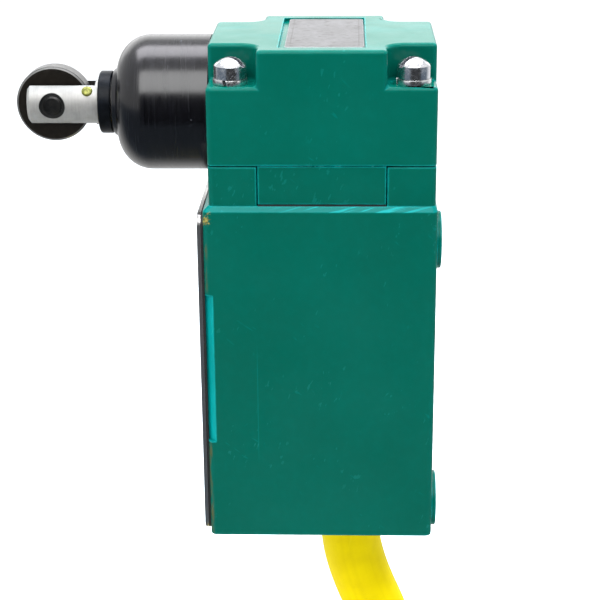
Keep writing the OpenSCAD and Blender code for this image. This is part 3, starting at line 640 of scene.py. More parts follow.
def housing_marks(f, base):
    """The housing's own wear: its rubbed flat, a long scratch, tool streaks on the top bevel, a chipped
    corner, and paint worn through along the front left edge. The whole top bevel is also paled as a painted
    highlight."""
    x, y, z = f.part("X"), f.part("Y"), f.part("Z")
    front = f.remap(y, -HOUSE_HALF + 1.9, -HOUSE_HALF + 1.6)
    corner = f.remap(x, HOUSE_LEFT + 1.9, HOUSE_LEFT + 1.6)
    rubbed = f.times(front, corner, f.between(z, FLAT_Z - FLAT_H / 2, FLAT_Z + FLAT_H / 2, 0.25))
    thin = f.remap(f.noise(0.5, 3, stretch=(1, 1, 0.2)), 0.3, 0.7, 0.36, 0.54)
    base = f.mix(f.times(rubbed, thin), base, PALE_WEAR_AND_HIGHLIGHT)
    line = f.times(f.between(x, *SCRATCH_X, 0.08), f.between(z, *SCRATCH_Z, 3.0), front)
    base = f.mix(f.times(line, 0.10), base, PALE_WEAR_AND_HIGHLIGHT)
    tool = f.noise(1.7, 2, stretch=(0.07, 0.1, 1.6), turn=(0, 13, 0))
    # Painted highlight: the whole top bevel is mixed a little towards pale as if lit from above; the streaks
    # on it are tool marks.
    bevel = f.between(z, HOUSE_TOP - HOUSE_BEVEL, HOUSE_TOP, 0.1)
    base = f.mix(f.times(bevel, 0.17), base, PALE_WEAR_AND_HIGHLIGHT)
    streak = f.times(bevel, f.remap(tool, 0.54, 0.60), f.between(x, *STREAKS_X, 5.0))
    base = f.mix(f.times(streak, 0.45), base, PALE_WEAR_AND_HIGHLIGHT)
    chip = f.maths("MAXIMUM", *(f.near(*spot) for spot in CHIPS))
    bare = f.mix(f.remap(f.noise(2.6, 4, 0.7), 0.42, 0.58), PRIMER, BARE_METAL)
    base = f.mix(f.times(chip, 0.9), base, bare)
    rim_x = f.remap(x, HOUSE_LEFT + 1.0, HOUSE_LEFT + 0.5)
    rim = f.times(rim_x, f.remap(y, -HOUSE_HALF + 0.9, -HOUSE_HALF + 0.5))
    foot = f.times(rim, f.remap(z, -13.0, -15.0),
                   f.remap(f.noise(0.7, 4, stretch=(1, 1, 0.3)), 0.44, 0.6))
    upper = f.times(rim, f.between(z, *WORN_EDGE_Z, 1.0),
                    f.remap(f.noise(0.5, 4, stretch=(1, 1, 0.3)), 0.5, 0.62))
    return f.mix(f.times(f.maths("MAXIMUM", foot, upper), 0.6), base, PRIMER)


def head_marks(f, base):
    """Pale rubbed streaks on the head's top."""
    top = f.remap(f.part("Z"), HEAD_TOP - 0.3, HEAD_TOP - 0.1)
    smear = f.remap(f.noise(0.16, 4, stretch=(0.4, 1, 1)), 0.5, 0.75)
    return f.mix(f.times(top, smear, 0.07), base, PALE_WEAR_AND_HIGHLIGHT)


def turned_black():
    """Glossy black turned bushing with fine rings round its axis."""
    f = Finish("turned_black", Specular_IOR_Level=0.5)
    rings = f.noise(5.0, 3, 0.7, stretch=(1, 0.02, 0.02))
    broad = f.noise(0.9, 2, stretch=(1, 0.05, 0.05))
    worn = f.times(f.edges(0.25), f.remap(f.noise(0.9, 3), 0.4, 0.7))
    rubs = f.scratches(1.4, (0, 0, 80), share=0.64)
    base = f.mix(f.remap(rings, 0.35, 0.75), (0.0007, 0.0007, 0.0012), (0.0028, 0.0028, 0.0042))
    base = f.mix(f.times(f.maths("MAXIMUM", worn, f.times(rubs, 0.4)), 0.35), base, (0.05, 0.05, 0.058))
    f.colour(f.mix(f.times(f.specks(0.35, 0.03, 0.2), 0.4), base, (0.2, 0.2, 0.22)))
    f.roughness(f.maths("ADD", f.remap(rings, 0.3, 0.75, 0.15, 0.27), f.remap(broad, 0.3, 0.7, 0.0, 0.05)))
    f.bump(rings, 0.006, 0.55)
    f.bump(broad, 0.01, 0.25)
    return f.material


def black_collar():
    """Satin black plastic, smooth with faint turning lines."""
    f = Finish("black_collar", Specular_IOR_Level=0.08)
    rings = f.noise(3.0, 2, stretch=(1, 0.02, 0.02))
    dust = f.specks(0.9, 0.03, 0.2)
    base = f.mix(f.remap(f.noise(0.5, 4), 0.3, 0.7), (0.0014, 0.0018, 0.0026), (0.0040, 0.0048, 0.0064))
    f.colour(f.mix(f.times(dust, 0.3), base, (0.12, 0.12, 0.13)))
    f.roughness(f.remap(f.noise(1.2, 3), 0.3, 0.7, 0.28, 0.42))
    f.bump(rings, 0.006, 0.4)
    return f.material


def ground_steel(name, dark, light, stretch, rough, relief=0.004):
    """Bare steel with fine grinding lines, cloudy stains and bright edges."""
    f = Finish(name, Metallic=1.0)
    lines = f.noise(6.0, 4, 0.7, stretch=stretch)
    cloud = f.remap(f.noise(0.45, 5, 0.6), 0.3, 0.7)
    edge = f.edges(0.18)
    base = f.mix(cloud, dark, light)
    base = f.mix(f.times(f.remap(lines, 0.45, 0.8), 0.3), base, tuple(c * 0.55 for c in dark))
    f.colour(f.mix(f.times(edge, 0.6), base, (0.93, 0.92, 0.90)))
    f.roughness(f.maths("ADD", f.remap(lines, 0.3, 0.7, *rough), f.times(cloud, -0.05)))
    f.bump(lines, relief, 0.5)
    return f.material


def plunger_satin():
    """Satin steel ground round its axis, with painted shade that darkens the fork slot and the countersinks
    round the pin.
    """
    f = Finish("plunger_satin", Metallic=0.3)
    lines = f.noise(6.0, 4, 0.7, stretch=(1, 0.05, 0.05))
    cloud = f.remap(f.noise(0.45, 5, 0.6), 0.3, 0.7)
    base = f.mix(cloud, (0.190, 0.178, 0.164), (0.245, 0.231, 0.213))
    base = f.mix(f.times(f.remap(lines, 0.45, 0.8), 0.3), base, (0.11, 0.105, 0.10))
    base = f.mix(f.times(f.edges(0.18), 0.6), base, (0.36, 0.35, 0.33))
    # Painted shade: the countersinks round the pin and the inside of the fork slot are coloured almost black,
    # as if in shadow.
    sink_shade = f.remap(f.from_roller_axis(), SINK_R, SINK_R + 0.12, 1.0, 0.0)
    off_middle, slot_wall = f.maths("ABSOLUTE", f.part("Y")), FORK_SLOT / 2
    slot = f.times(f.remap(off_middle, slot_wall + 0.02, slot_wall + 0.06, 1.0, 0.0),
                   f.remap(f.part("X"), FORK_ROOT + 0.05, FORK_ROOT + 0.2, 1.0, 0.0))
    f.colour(f.mix(f.times(f.maths("MAXIMUM", sink_shade, slot), 0.96), base, (0.002, 0.002, 0.002)))
    f.roughness(f.maths("ADD", f.remap(lines, 0.3, 0.7, 0.44, 0.58), f.times(cloud, -0.05)))
    f.bump(lines, 0.004, 0.5)
    return f.material


def roller_steel():
    """Blued faces that are almost black, a bare ground rim and a bright chamfer."""
    f = Finish("roller_steel", Specular_IOR_Level=0.2)
    radius = f.from_roller_axis()
    bare = f.remap(radius, ROLLER_R - 0.47, ROLLER_R - 0.40)
    stain = f.remap(f.noise(0.9, 5, 0.65), 0.3, 0.7)
    blued = f.mix(stain, (0.0050, 0.0038, 0.0026), (0.0105, 0.0080, 0.0056))
    rub = f.times(f.remap(radius, ROLLER_R - 1.1, ROLLER_R - 0.4), f.remap(f.noise(1.6, 4), 0.5, 0.75))
    blued = f.mix(f.times(rub, 0.30), blued, (0.06, 0.052, 0.045))
    lines = f.remap(f.noise(2.5, 4, stretch=(0.3, 4, 0.3)), 0.3, 0.7)
    ground = f.mix(lines, (0.036, 0.033, 0.030), (0.078, 0.073, 0.068))
    chamfer = f.between(radius, ROLLER_R - 0.47, ROLLER_R - 0.12, 0.04)
    ground = f.mix(f.times(chamfer, 0.7), ground, (0.15, 0.143, 0.135))
    f.colour(f.mix(bare, blued, ground))
    f.feed(f.shader.inputs["Metallic"], f.remap(bare, 0.0, 1.0, 0.2, 0.6))
    f.roughness(f.maths("ADD", f.remap(f.noise(1.8, 4), 0.3, 0.7, 0.30, 0.46), f.times(bare, -0.04)))
    f.bump(f.noise(3.0, 4), 0.006, 0.5)
    f.bump(f.noise(4.0, 3, stretch=(0.2, 3, 0.2)), 0.004, 0.4)
    return f.material


def zinc_plate(name, dark=(0.50, 0.52, 0.56), light=(0.74, 0.75, 0.77), rough=(0.16, 0.30)):
    """Bright zinc with small dull spots, scratches and worn edges."""
    f = Finish(name, Metallic=1.0)
    cloud = f.remap(f.noise(0.8, 5, 0.65), 0.3, 0.7)
    spots = f.remap(f.noise(1.6, 4), 0.60, 0.72)
    base = f.mix(cloud, dark, light)
    base = f.mix(f.times(spots, 0.45), base, tuple(c * 0.45 for c in dark))
    rubs = f.scratches(3.0, (30, 40, 20), share=0.62)
    f.colour(f.mix(f.times(f.edges(0.12), 0.5), base, (0.92, 0.92, 0.92)))
    dull = f.times(f.maths("MAXIMUM", rubs, spots), 0.15)
    f.roughness(f.maths("ADD", f.remap(f.noise(1.5, 4), 0.3, 0.7, *rough), dull))
    f.bump(f.noise(2.4, 4), 0.008, 0.4)
    f.bump(f.maths("SUBTRACT", 0.0, rubs), 0.008, 0.5)
    return f.material


def nameplate_aluminium():
    """Matt rolled aluminium, stained, with a thin blank frame pressed round its face."""
    f = Finish("nameplate_aluminium", Metallic=0.75)
    x, y = f.part("X"), f.part("Y")
    stain = f.remap(f.noise(0.22, 5, 0.65), 0.3, 0.7)
    grain = f.noise(4.0, 4, 0.7, stretch=(0.15, 1, 1))
    base = f.mix(stain, (0.088, 0.082, 0.080), (0.150, 0.144, 0.143))
    base = f.mix(f.times(f.remap(grain, 0.4, 0.7), 0.25), base, (0.085, 0.080, 0.078))
    middle_y, half_y = 0.6, 16.6
    off_x = f.maths("ABSOLUTE", f.maths("SUBTRACT", x, HEAD_X + PLATE_SHIFT_X))
    off_y = f.maths("ABSOLUTE", f.maths("SUBTRACT", y, middle_y))
    inset = f.maths("MINIMUM", f.maths("SUBTRACT", PLATE_HALF_X, off_x), f.maths("SUBTRACT", half_y, off_y))
    frame_line = f.between(inset, 0.95, 1.15, 0.05)
    base = f.mix(f.times(frame_line, 0.55), base, (0.06, 0.055, 0.05))
    dull = f.remap(f.noise(0.6, 4), 0.55, 0.7)
    base = f.mix(f.times(dull, 0.4), base, (0.10, 0.09, 0.085))
    f.colour(f.mix(f.times(f.edges(0.15), 0.7), base, (0.45, 0.45, 0.44)))
    f.roughness(f.maths("ADD", f.remap(grain, 0.3, 0.7, 0.38, 0.55), f.times(dull, 0.12)))
    f.bump(grain, 0.006, 0.6)
    f.bump(f.maths("SUBTRACT", 0.0, frame_line), 0.05, 0.8)
    return f.material


def jacket_yellow():
    """Smooth yellow cable jacket with faint lengthwise streaks and scuffs. The map counts turns and metres,
    so its patterns are given per metre."""
    f = Finish("jacket_yellow", Specular_IOR_Level=0.02)
    along = f.add("ShaderNodeUVMap", uv_map="along").outputs["UV"]
    streak = f.noise(MM, 4, 0.6, coords=along, stretch=(26, 9, 1))
    cloud = f.noise(MM, 4, 0.6, coords=along, stretch=(5, 160, 1))
    base = f.mix(f.remap(cloud, 0.3, 0.7), JACKET_DEEP, JACKET_BRIGHT)
    base = f.mix(f.times(f.remap(streak, 0.45, 0.75), 0.35), base, (0.44, 0.315, 0.0))
    grime = f.remap(f.noise(0.35, 5, 0.65), 0.58, 0.75)
    scuffs = f.scratches(1.2, (0, 80, 0), share=0.64)
    base = f.mix(f.times(grime, 0.14), base, (0.26, 0.19, 0.01))
    f.colour(f.mix(f.times(scuffs, 0.25), base, (0.68, 0.55, 0.02)))
    dull = f.times(f.maths("MAXIMUM", grime, scuffs), 0.12)
    f.roughness(f.maths("ADD", f.remap(cloud, 0.3, 0.7, 0.36, 0.48), dull))
    f.bump(streak, 0.03, 0.35)
    f.bump(f.noise(1.6, 3), 0.02, 0.25)
    return f.material


def conductor_skin():
    """Coloured wire insulation. The colour of each wire is its attribute wire_colour."""
    f = Finish("conductor_skin", Specular_IOR_Level=0.45)
    own = f.add("ShaderNodeAttribute", attribute_name="wire_colour").outputs["Color"]
    dirt = f.remap(f.noise(0.9, 4), 0.5, 0.75)
    f.colour(f.mix(f.times(dirt, 0.22), own, (0.08, 0.07, 0.06)))
    f.roughness(f.remap(f.noise(0.7, 3), 0.3, 0.7, 0.34, 0.5))
    f.bump(f.noise(2.5, 3), 0.012, 0.4)
    return f.material


def floor_white():
    f = Finish("floor_white", Specular_IOR_Level=0.2)
    f.colour(f.mix(f.remap(f.noise(0.01, 3), 0.3, 0.7), (0.92, 0.92, 0.92), (0.95, 0.95, 0.95)))
    f.roughness(f.remap(f.noise(0.05, 3), 0.3, 0.7, 0.75, 0.85))
    return f.material


# ---- repeated pieces, by geometry nodes ----


class Repeat:
    """A geometry tree with named inputs that places its shape on each point of a small mesh."""

    def __init__(self, name, **sizes):
        self.tree = bpy.data.node_groups.new(name, "GeometryNodeTree")
        face = self.tree.interface
        face.new_socket("Geometry", in_out="INPUT", socket_type="NodeSocketGeometry")
        face.new_socket("Geometry", in_out="OUTPUT", socket_type="NodeSocketGeometry")
        face.new_socket("Finish", in_out="INPUT", socket_type="NodeSocketMaterial")
        self.values = sizes
        for key in sizes:
            face.new_socket(key, in_out="INPUT", socket_type="NodeSocketFloat")
        self.given = self.add("NodeGroupInput")

    def add(self, kind, inputs=(), **settings):
        """A node with its settings. inputs is (name or number, value or socket) pairs."""
        node = self.tree.nodes.new(kind)
        for key, value in settings.items():
            setattr(node, key, value)
        for key, value in inputs:
            self.feed(node.inputs[key], value)
        return node

    def feed(self, socket, value):
        if isinstance(value, bpy.types.NodeSocket):
            self.tree.links.new(value, socket)
        else:
            socket.default_value = value

    def size(self, key):
        return self.given.outputs[key]

    def maths(self, operation, a, b):
        return self.add("ShaderNodeMath", ((0, a), (1, b)), operation=operation).outputs[0]

    def vector(self, x, y, z):
        return self.add("ShaderNodeCombineXYZ", ((0, x), (1, y), (2, z))).outputs[0]

    def barrel(self, radius, height, low, sides=48):
        """A cylinder that stands from the height low."""
        node = self.add("GeometryNodeMeshCylinder", (
            ("Vertices", sides), ("Radius", radius), ("Depth", height)))
        rise = self.maths("ADD", low, self.maths("MULTIPLY", height, 0.5))
        return self.moved(node.outputs["Mesh"], self.vector(0.0, 0.0, rise))

    def moved(self, shape, shift, turn=(0, 0, 0)):
        node = self.add("GeometryNodeTransform", (("Geometry", shape), ("Translation", shift)))
        node.inputs["Rotation"].default_value = turn
        return node.outputs["Geometry"]

    def slot(self, length):
        """The cutter of a screw's slot, half above the face that it sinks into."""
        depth = self.maths("MULTIPLY", self.size("slot_depth"), 2.0)
        size = self.vector(length, self.size("slot_width"), depth)
        block = self.add("GeometryNodeMeshCube", (("Size", size),))
        return block.outputs["Mesh"]

    def minus(self, shape, *cutters):
        node = self.add("GeometryNodeMeshBoolean", operation="DIFFERENCE", solver="EXACT")
        self.feed(node.inputs["Mesh 1"], shape)
        for cutter in cutters:
            self.feed(node.inputs["Mesh 2"], cutter)
        return node.outputs["Mesh"]

    def both(self, operation, *shapes):
        node = self.add("GeometryNodeMeshBoolean", operation=operation, solver="EXACT")
        for shape in shapes:
            self.feed(node.inputs["Mesh 2"], shape)
        return node.outputs["Mesh"]

    def end(self, shape):
        """Places the shape on each point, turned by the point's own attribute turn."""
        turn = self.add("GeometryNodeInputNamedAttribute", (("Name", "turn"),), data_type="FLOAT_VECTOR")
        placed = self.add("GeometryNodeInstanceOnPoints", (
            ("Points", self.given.outputs["Geometry"]), ("Instance", shape), ("Rotation", turn.outputs[0])))
        real = self.add("GeometryNodeRealizeInstances", (("Geometry", placed.outputs[0]),))
        painted = self.add("GeometryNodeSetMaterial", (
            ("Geometry", real.outputs[0]), ("Material", self.given.outputs["Finish"])))
        self.add("NodeGroupOutput", ((0, painted.outputs[0]),))

    def grow(self, name, spots, turns, finish):
        """The plain mesh that the tree makes on the spots, each turned by its three angles in degrees."""
        mesh = bpy.data.meshes.new(name)
        mesh.from_pydata(spots, [], [])
        turn = mesh.attributes.new("turn", "FLOAT_VECTOR", "POINT")
        for i, angles in enumerate(turns):
            turn.data[i].vector = [math.radians(a) for a in angles]
        piece = bpy.data.objects.new(name, mesh)
        bpy.context.scene.collection.objects.link(piece)
        step = piece.modifiers.new(name, "NODES")
        step.node_group = self.tree
        sockets = {s.name: s.identifier for s in self.tree.interface.items_tree if s.in_out == "INPUT"}
        for key, value in self.values.items():
            step[sockets[key]] = value
        step[sockets["Finish"]] = finish
        settle(piece)
        return piece


def fillister_screws():
    """Slotted screws with a straight side and a domed top. A point is at the head's underside."""
    r = Repeat("fillister_screws", head_radius=SCREW_HEAD_R, side_height=SCREW_SIDE_H,
               dome_height=SCREW_DOME_H, slot_width=SCREW_SLOT_W, slot_depth=SCREW_SLOT_DEPTH,
               shank_radius=SCREW_R, shank_length=WASHER_T + LEDGE_Z - HEAD_BOTTOM + SCREW_BITE)
    radius, dome = r.size("head_radius"), r.size("dome_height")
    top = r.maths("ADD", r.size("side_height"), dome)
    squares = r.maths("ADD", r.maths("MULTIPLY", radius, radius), r.maths("MULTIPLY", dome, dome))
    ball = r.maths("DIVIDE", squares, r.maths("MULTIPLY", dome, 2.0))
    sphere = r.add("GeometryNodeMeshUVSphere", (("Segments", 64), ("Rings", 48), ("Radius", ball)))
    sphere = r.moved(sphere.outputs["Mesh"], r.vector(0.0, 0.0, r.maths("SUBTRACT", top, ball)))
    head = r.both("INTERSECT", r.barrel(radius, r.maths("ADD", top, 1.0), 0.0, 64), sphere)
    slot_length = r.maths("MULTIPLY", radius, 2.2)
    head = r.minus(head, r.moved(r.slot(slot_length), r.vector(0.0, 0.0, top)))
    length = r.size("shank_length")
    foot = r.maths("MULTIPLY", length, -1.0)
    shank = r.barrel(r.size("shank_radius"), r.maths("ADD", length, 0.5), foot, 32)
    r.end(r.both("UNION", head, shank))
    return r


def split_washers():
    """Square-section lock washers with a slanted split and a slight twist. A point is at the underside."""
    split_lean = 0.35
    r = Repeat("split_washers", outer_radius=WASHER_R, bore_radius=SCREW_R + 0.15,
               thickness=WASHER_T - 0.08, split_width=0.6, twist=0.08)
    outer, thick = r.size("outer_radius"), r.size("thickness")
    ring = r.minus(r.barrel(outer, thick, 0.0, 96), r.barrel(r.size("bore_radius"), 4.0, -1.0, 64))
    split = r.add("GeometryNodeMeshCube", (("Size", r.vector(outer, r.size("split_width"), 6.0)),))
    at_side = r.vector(r.maths("MULTIPLY", outer, 0.75), 0.0, 0.0)
    ring = r.minus(ring, r.moved(split.outputs["Mesh"], at_side, (split_lean, 0, 0)))
    place = r.add("ShaderNodeSeparateXYZ", ((0, r.add("GeometryNodeInputPosition").outputs[0]),))
    across, along = (r.maths("MULTIPLY", place.outputs[i], -1.0) for i in (1, 0))
    angle = r.maths("ARCTAN2", across, along)
    share = r.maths("ADD", r.maths("DIVIDE", angle, 2 * math.pi), 0.5)
    lift = r.vector(0.0, 0.0, r.maths("MULTIPLY", share, r.size("twist")))
    twisted = r.add("GeometryNodeSetPosition", (("Geometry", ring), ("Offset", lift)))
    r.end(twisted.outputs[0])
    return r


def countersunk_screws():
    """Flush slotted screws. A point is at the middle of the head's face, which looks along +Z."""
    r = Repeat("countersunk_screws", head_radius=COVER_SCREW_HEAD_R, shank_radius=COVER_SCREW_R,
               length=COVER_SCREW_LEN, slot_width=0.8, slot_depth=0.6)
    head, shank = r.size("head_radius"), r.size("shank_radius")
    depth = r.maths("SUBTRACT", head, shank)
    cone = r.add("GeometryNodeMeshCone", (
        ("Vertices", 48), ("Radius Top", head), ("Radius Bottom", shank), ("Depth", depth)))
    cone = r.moved(cone.outputs["Mesh"], r.vector(0.0, 0.0, r.maths("MULTIPLY", depth, -1.0)))
    length = r.size("length")
    rod_low = r.maths("MULTIPLY", length, -1.0)
    screw = r.both("UNION", cone, r.barrel(shank, r.maths("SUBTRACT", length, 0.3), rod_low, 48))
    r.end(r.minus(screw, r.slot(r.maths("MULTIPLY", head, 2.4))))
    return r


def coil_ties():
    """Ties round the coil: a flat band and its lock. A point is at the middle of the turns, with X along
    the coil's axis and Y away from it."""
    r = Repeat("coil_ties", inner_width=2 * COIL_PITCH + 2 * CABLE_R + 0.5,
               inner_height=2 * CABLE_R + 0.5, bend_radius=CABLE_R + 0.2, band_width=4.6,
               band_thickness=1.15, lock_width=6.6, lock_length=6.6, lock_height=2.8)
    thick = r.size("band_thickness")
    loop = r.add("GeometryNodeCurvePrimitiveQuadrilateral", (
        ("Width", r.maths("ADD", r.size("inner_width"), thick)),
        ("Height", r.maths("ADD", r.size("inner_height"), thick))))
    loop = r.add("GeometryNodeFilletCurve", (
        ("Curve", loop.outputs["Curve"]), ("Count", 12), ("Radius", r.size("bend_radius"))), mode="POLY")
    strip = r.add("GeometryNodeCurvePrimitiveQuadrilateral", (
        ("Width", thick), ("Height", r.size("band_width"))))
    strip = r.add("GeometryNodeFilletCurve", (
        ("Curve", strip.outputs["Curve"]), ("Count", 3), ("Radius", 0.3)), mode="POLY")
    band = r.add("GeometryNodeCurveToMesh", (
        ("Curve", loop.outputs[0]), ("Profile Curve", strip.outputs[0])))
    reach = r.maths("ADD", r.maths("MULTIPLY", r.size("inner_width"), 0.5), thick)
    middle = r.maths("ADD", reach, r.maths("MULTIPLY", r.size("lock_height"), 0.5))
    lock = r.add("GeometryNodeMeshCube", (("Size", r.vector(
        r.size("lock_height"), r.size("lock_width"), r.size("lock_length"))),))
    lock_x = r.maths("MULTIPLY", r.maths("SUBTRACT", middle, 0.3), -1.0)
    lock = r.moved(lock.outputs["Mesh"], r.vector(lock_x, 0.0, 0.0))
    r.end(r.both("UNION", band.outputs[0], lock))
    return r


# ---- pieces ----


def near_head_screw(spot, reach):
    """Whether a spot is within reach of a head screw's middle, along X and along Y."""
    off_x, off_y = abs(spot.x - HEAD_X) - HEAD_SCREW_X, abs(spot.y) - HEAD_SCREW_Y
    return abs(off_x) < reach and abs(off_y) < reach


def housing_rounding(spot):
    """How far each edge of the housing is rounded: its foot most, its bores and seat not at all."""
    if spot.z < HOUSE_BOTTOM + 0.01:
        return 0 if on_rim(spot, "Z", (GLAND_X, 0, 0), GLAND_BORE_R) else 1.0
    if spot.z > HOUSE_TOP + POST_H - 0.01:
        return 0 if near_head_screw(spot, 2.2) else 0.5
    if spot.z > HOUSE_TOP + 0.05:
        return 0.5
    if abs(spot.z - (HOUSE_TOP - HOUSE_BEVEL)) < 0.01:
        return 0.5
    off_hole = min(math.hypot(spot.y - y, spot.z - z) for y, z in four(HOLE_Y, HOLE_Z))
    return 0.6 if spot.x > -0.01 and off_hole > HOLE_R + 0.1 else 0


def make_housing():
    outline = soften(rectangle(HOUSE_LEFT, -HOUSE_HALF, HOUSE_RIGHT, HOUSE_HALF), EDGE_R)
    upper = soften(rectangle(HEAD_LEFT, -HEAD_HALF, HEAD_RIGHT, HEAD_HALF), EDGE_R)
    piece = loft("housing_casting", [
        (HOUSE_BOTTOM, outline), (HOUSE_TOP - HOUSE_BEVEL, outline), (HOUSE_TOP, upper)])
    boss_spots = [(0, y, z) for y, z in four(HOLE_Y, HOLE_Z)]
    combine(piece, rods("X", boss_spots, HOUSE_RIGHT - 1, 0, BOSS_R, 96), "UNION")
    posts = []
    post_half = HEAD_HALF - POST_INSET
    for sx in (-1, 1):
        outer = (HEAD_LEFT if sx < 0 else HEAD_RIGHT) - sx * POST_INSET
        inner = HEAD_X + sx * (CROWN_HALF_X + SEAM)
        for sy in (-1, 1):
            corner = [(inner, sy * (TONGUE_ARM + SEAM)), (outer, sy * (TONGUE_ARM + SEAM)),
                      (outer, sy * post_half), (inner, sy * post_half)]
            corner = soften(corner, [0, 0, EDGE_R, 0])
            posts.append(prism("post", corner, HOUSE_TOP - 0.6, HOUSE_TOP + POST_H))
    combine(piece, joined("posts", posts), "UNION")
    flat = box("flat", (-FLAT_W / 2, -FLAT_W / 2, -FLAT_H / 2), (FLAT_W / 2, FLAT_W / 2, FLAT_H / 2))
    at_edge = Matrix.Translation((HOUSE_LEFT, -HOUSE_HALF, FLAT_Z))
    flat.data.transform(at_edge @ Matrix.Rotation(math.pi / 4, 4, "Z"))
    cut(
        piece, flat,
        box("cavity", (CAVITY_LEFT, -CAVITY_HALF, CAVITY_BOTTOM), (CAVITY_RIGHT, CAVITY_HALF, CAVITY_TOP)),
        rods("X", boss_spots, HOUSE_LEFT - 1, 1, HOLE_R),
        rods("Z", [(HEAD_X + x, y, 0) for x, y in four(HEAD_SCREW_X, HEAD_SCREW_Y)],
             HEAD_BOTTOM - SCREW_BITE - 1, HEAD_BOTTOM + 1, SCREW_R + 0.05, 32),
        rods("X", [(0, y, z) for y, z in four(COVER_SCREW_Y, COVER_SCREW_Z)],
             HOUSE_LEFT - 1, HOUSE_LEFT + COVER_SCREW_LEN, COVER_SCREW_R + 0.05, 32),
        rods("X", [(0, y, z) for y, z in BLOCK_SCREW_SPOTS],
             CAVITY_RIGHT - 1, CAVITY_RIGHT + BLOCK_SCREW_BITE, BLOCK_SCREW_R, 32),
        rod("guide_seat", "Z", (HEAD_X, 0, 0), HOUSE_TOP - GUIDE_DEPTH, HOUSE_TOP + 1, GUIDE_R),
        rod("pin_hole", "Z", (HEAD_X, 0, 0), CAVITY_TOP - 1, HOUSE_TOP, PUSH_PIN_BORE_R, 48),
        rod("gland_thread", "Z", (GLAND_X, 0, 0), HOUSE_BOTTOM - 1, CAVITY_BOTTOM + 1, GLAND_BORE_R),
    )
    round_edges(piece, 0.5, 3, share=housing_rounding, clamp=False)
    paint = teal_paint("housing_enamel", housing_marks)
    finish_piece(piece, "case", paint, ["housing"])


def head_rounding(spot):
    """How far each edge of the head is rounded: the crown and ledges well, the recess and the seams a
    little, the bores not at all."""
    off_x, off_y = abs(spot.x - HEAD_X), abs(spot.y)
    on_chamber = on_rim(spot, "X", (0, 0, AXIS_Z), CHAMBER_R)
    if near_head_screw(spot, 2.3) or on_chamber and spot.x < HEAD_LEFT + 0.3:
        return 0
    if spot.z < HEAD_BOTTOM + 0.5:
        return 0 if max(off_x, off_y) < GUIDE_R + 0.15 else 0.2
    past_recess = max(off_x - RECESS_HALF_X, off_y - RECESS_HALF_Y)
    if spot.z > HEAD_TOP - 0.01 and past_recess < 0.1:
        return 0.12
    return 0.85 if spot.z > LEDGE_Z - 0.01 and past_recess > 0.1 else 0


def make_head():
    outline = soften(rectangle(HEAD_LEFT, -HEAD_HALF, HEAD_RIGHT, HEAD_HALF), EDGE_R)
    piece = prism("head_casting", outline, HEAD_BOTTOM, HEAD_TOP)
    far = 40.0
    notch = [(HEAD_X + CROWN_HALF_X, far), (HEAD_X + CROWN_HALF_X, CROWN_HALF_Y),
             (far, CROWN_HALF_Y), (far, far)]
    notch = soften(notch, [0, NOTCH_R, 0, 0], steps=12)
    cut(piece, joined("notches", [
        prism("notch", mirrored(notch, sx, sy, HEAD_X), LEDGE_Z, HEAD_TOP + 3) for sx, sy in four(1, 1)]))
    arm, edge_y = TONGUE_ARM, HEAD_HALF - TONGUE_INSET
    left, right = HEAD_LEFT + TONGUE_INSET, HEAD_RIGHT - TONGUE_INSET
    x0, x1 = HEAD_X - CROWN_HALF_X, HEAD_X + CROWN_HALF_X
    cross = [(x0, -edge_y), (x1, -edge_y), (x1, -arm), (right, -arm), (right, arm), (x1, arm),
             (x1, edge_y), (x0, edge_y), (x0, arm), (left, arm), (left, -arm), (x0, -arm)]
    combine(piece, prism("tongue", cross, TONGUE_BOTTOM, HEAD_BOTTOM + 3), "UNION")
    cut(
        piece,
        rod("chamber", "X", (0, 0, AXIS_Z), HEAD_LEFT - 2, HEAD_RIGHT - 4, CHAMBER_R, 96),
        rod("guide_bore", "Z", (HEAD_X, 0, 0), TONGUE_BOTTOM - 1, AXIS_Z, GUIDE_R),
        rods("Z", [(HEAD_X + x, y, 0) for x, y in four(HEAD_SCREW_X, HEAD_SCREW_Y)],
             HEAD_BOTTOM - 1, LEDGE_Z + 1, SCREW_R + 0.15, 48),
        box("recess", (HEAD_X - RECESS_HALF_X, -RECESS_HALF_Y, HEAD_TOP - RECESS_T),
            (HEAD_X + RECESS_HALF_X, RECESS_HALF_Y, HEAD_TOP + 1)),
    )
    round_edges(piece, 1.0, 4, share=head_rounding, clamp=False)
    paint = teal_paint("head_enamel", head_marks)
    finish_piece(piece, "case", paint, ["head_body"])


def cover_outline(inset=0.0):
    plan = rectangle(-COVER_HALF + inset, COVER_BOTTOM + inset, COVER_HALF - inset, COVER_TOP - inset)
    return soften(plan, COVER_R - inset, steps=8)


def sheet_on_cover(name, sections):
    """A solid whose sections stand along -X. Each is (x, outline in Y and Z). Laying it there mirrors it,
    so its faces are turned back out."""
    piece = loft(name, [(-x, outline) for x, outline in sections])
    piece.data.transform(Matrix(((0, 0, -1, 0), (1, 0, 0, 0), (0, 1, 0, 0), (0, 0, 0, 1))))
    bm = bmesh.new()
    bm.from_mesh(piece.data)
    bmesh.ops.recalc_face_normals(bm, faces=bm.faces)
    bm.to_mesh(piece.data)
    bm.free()
    return piece


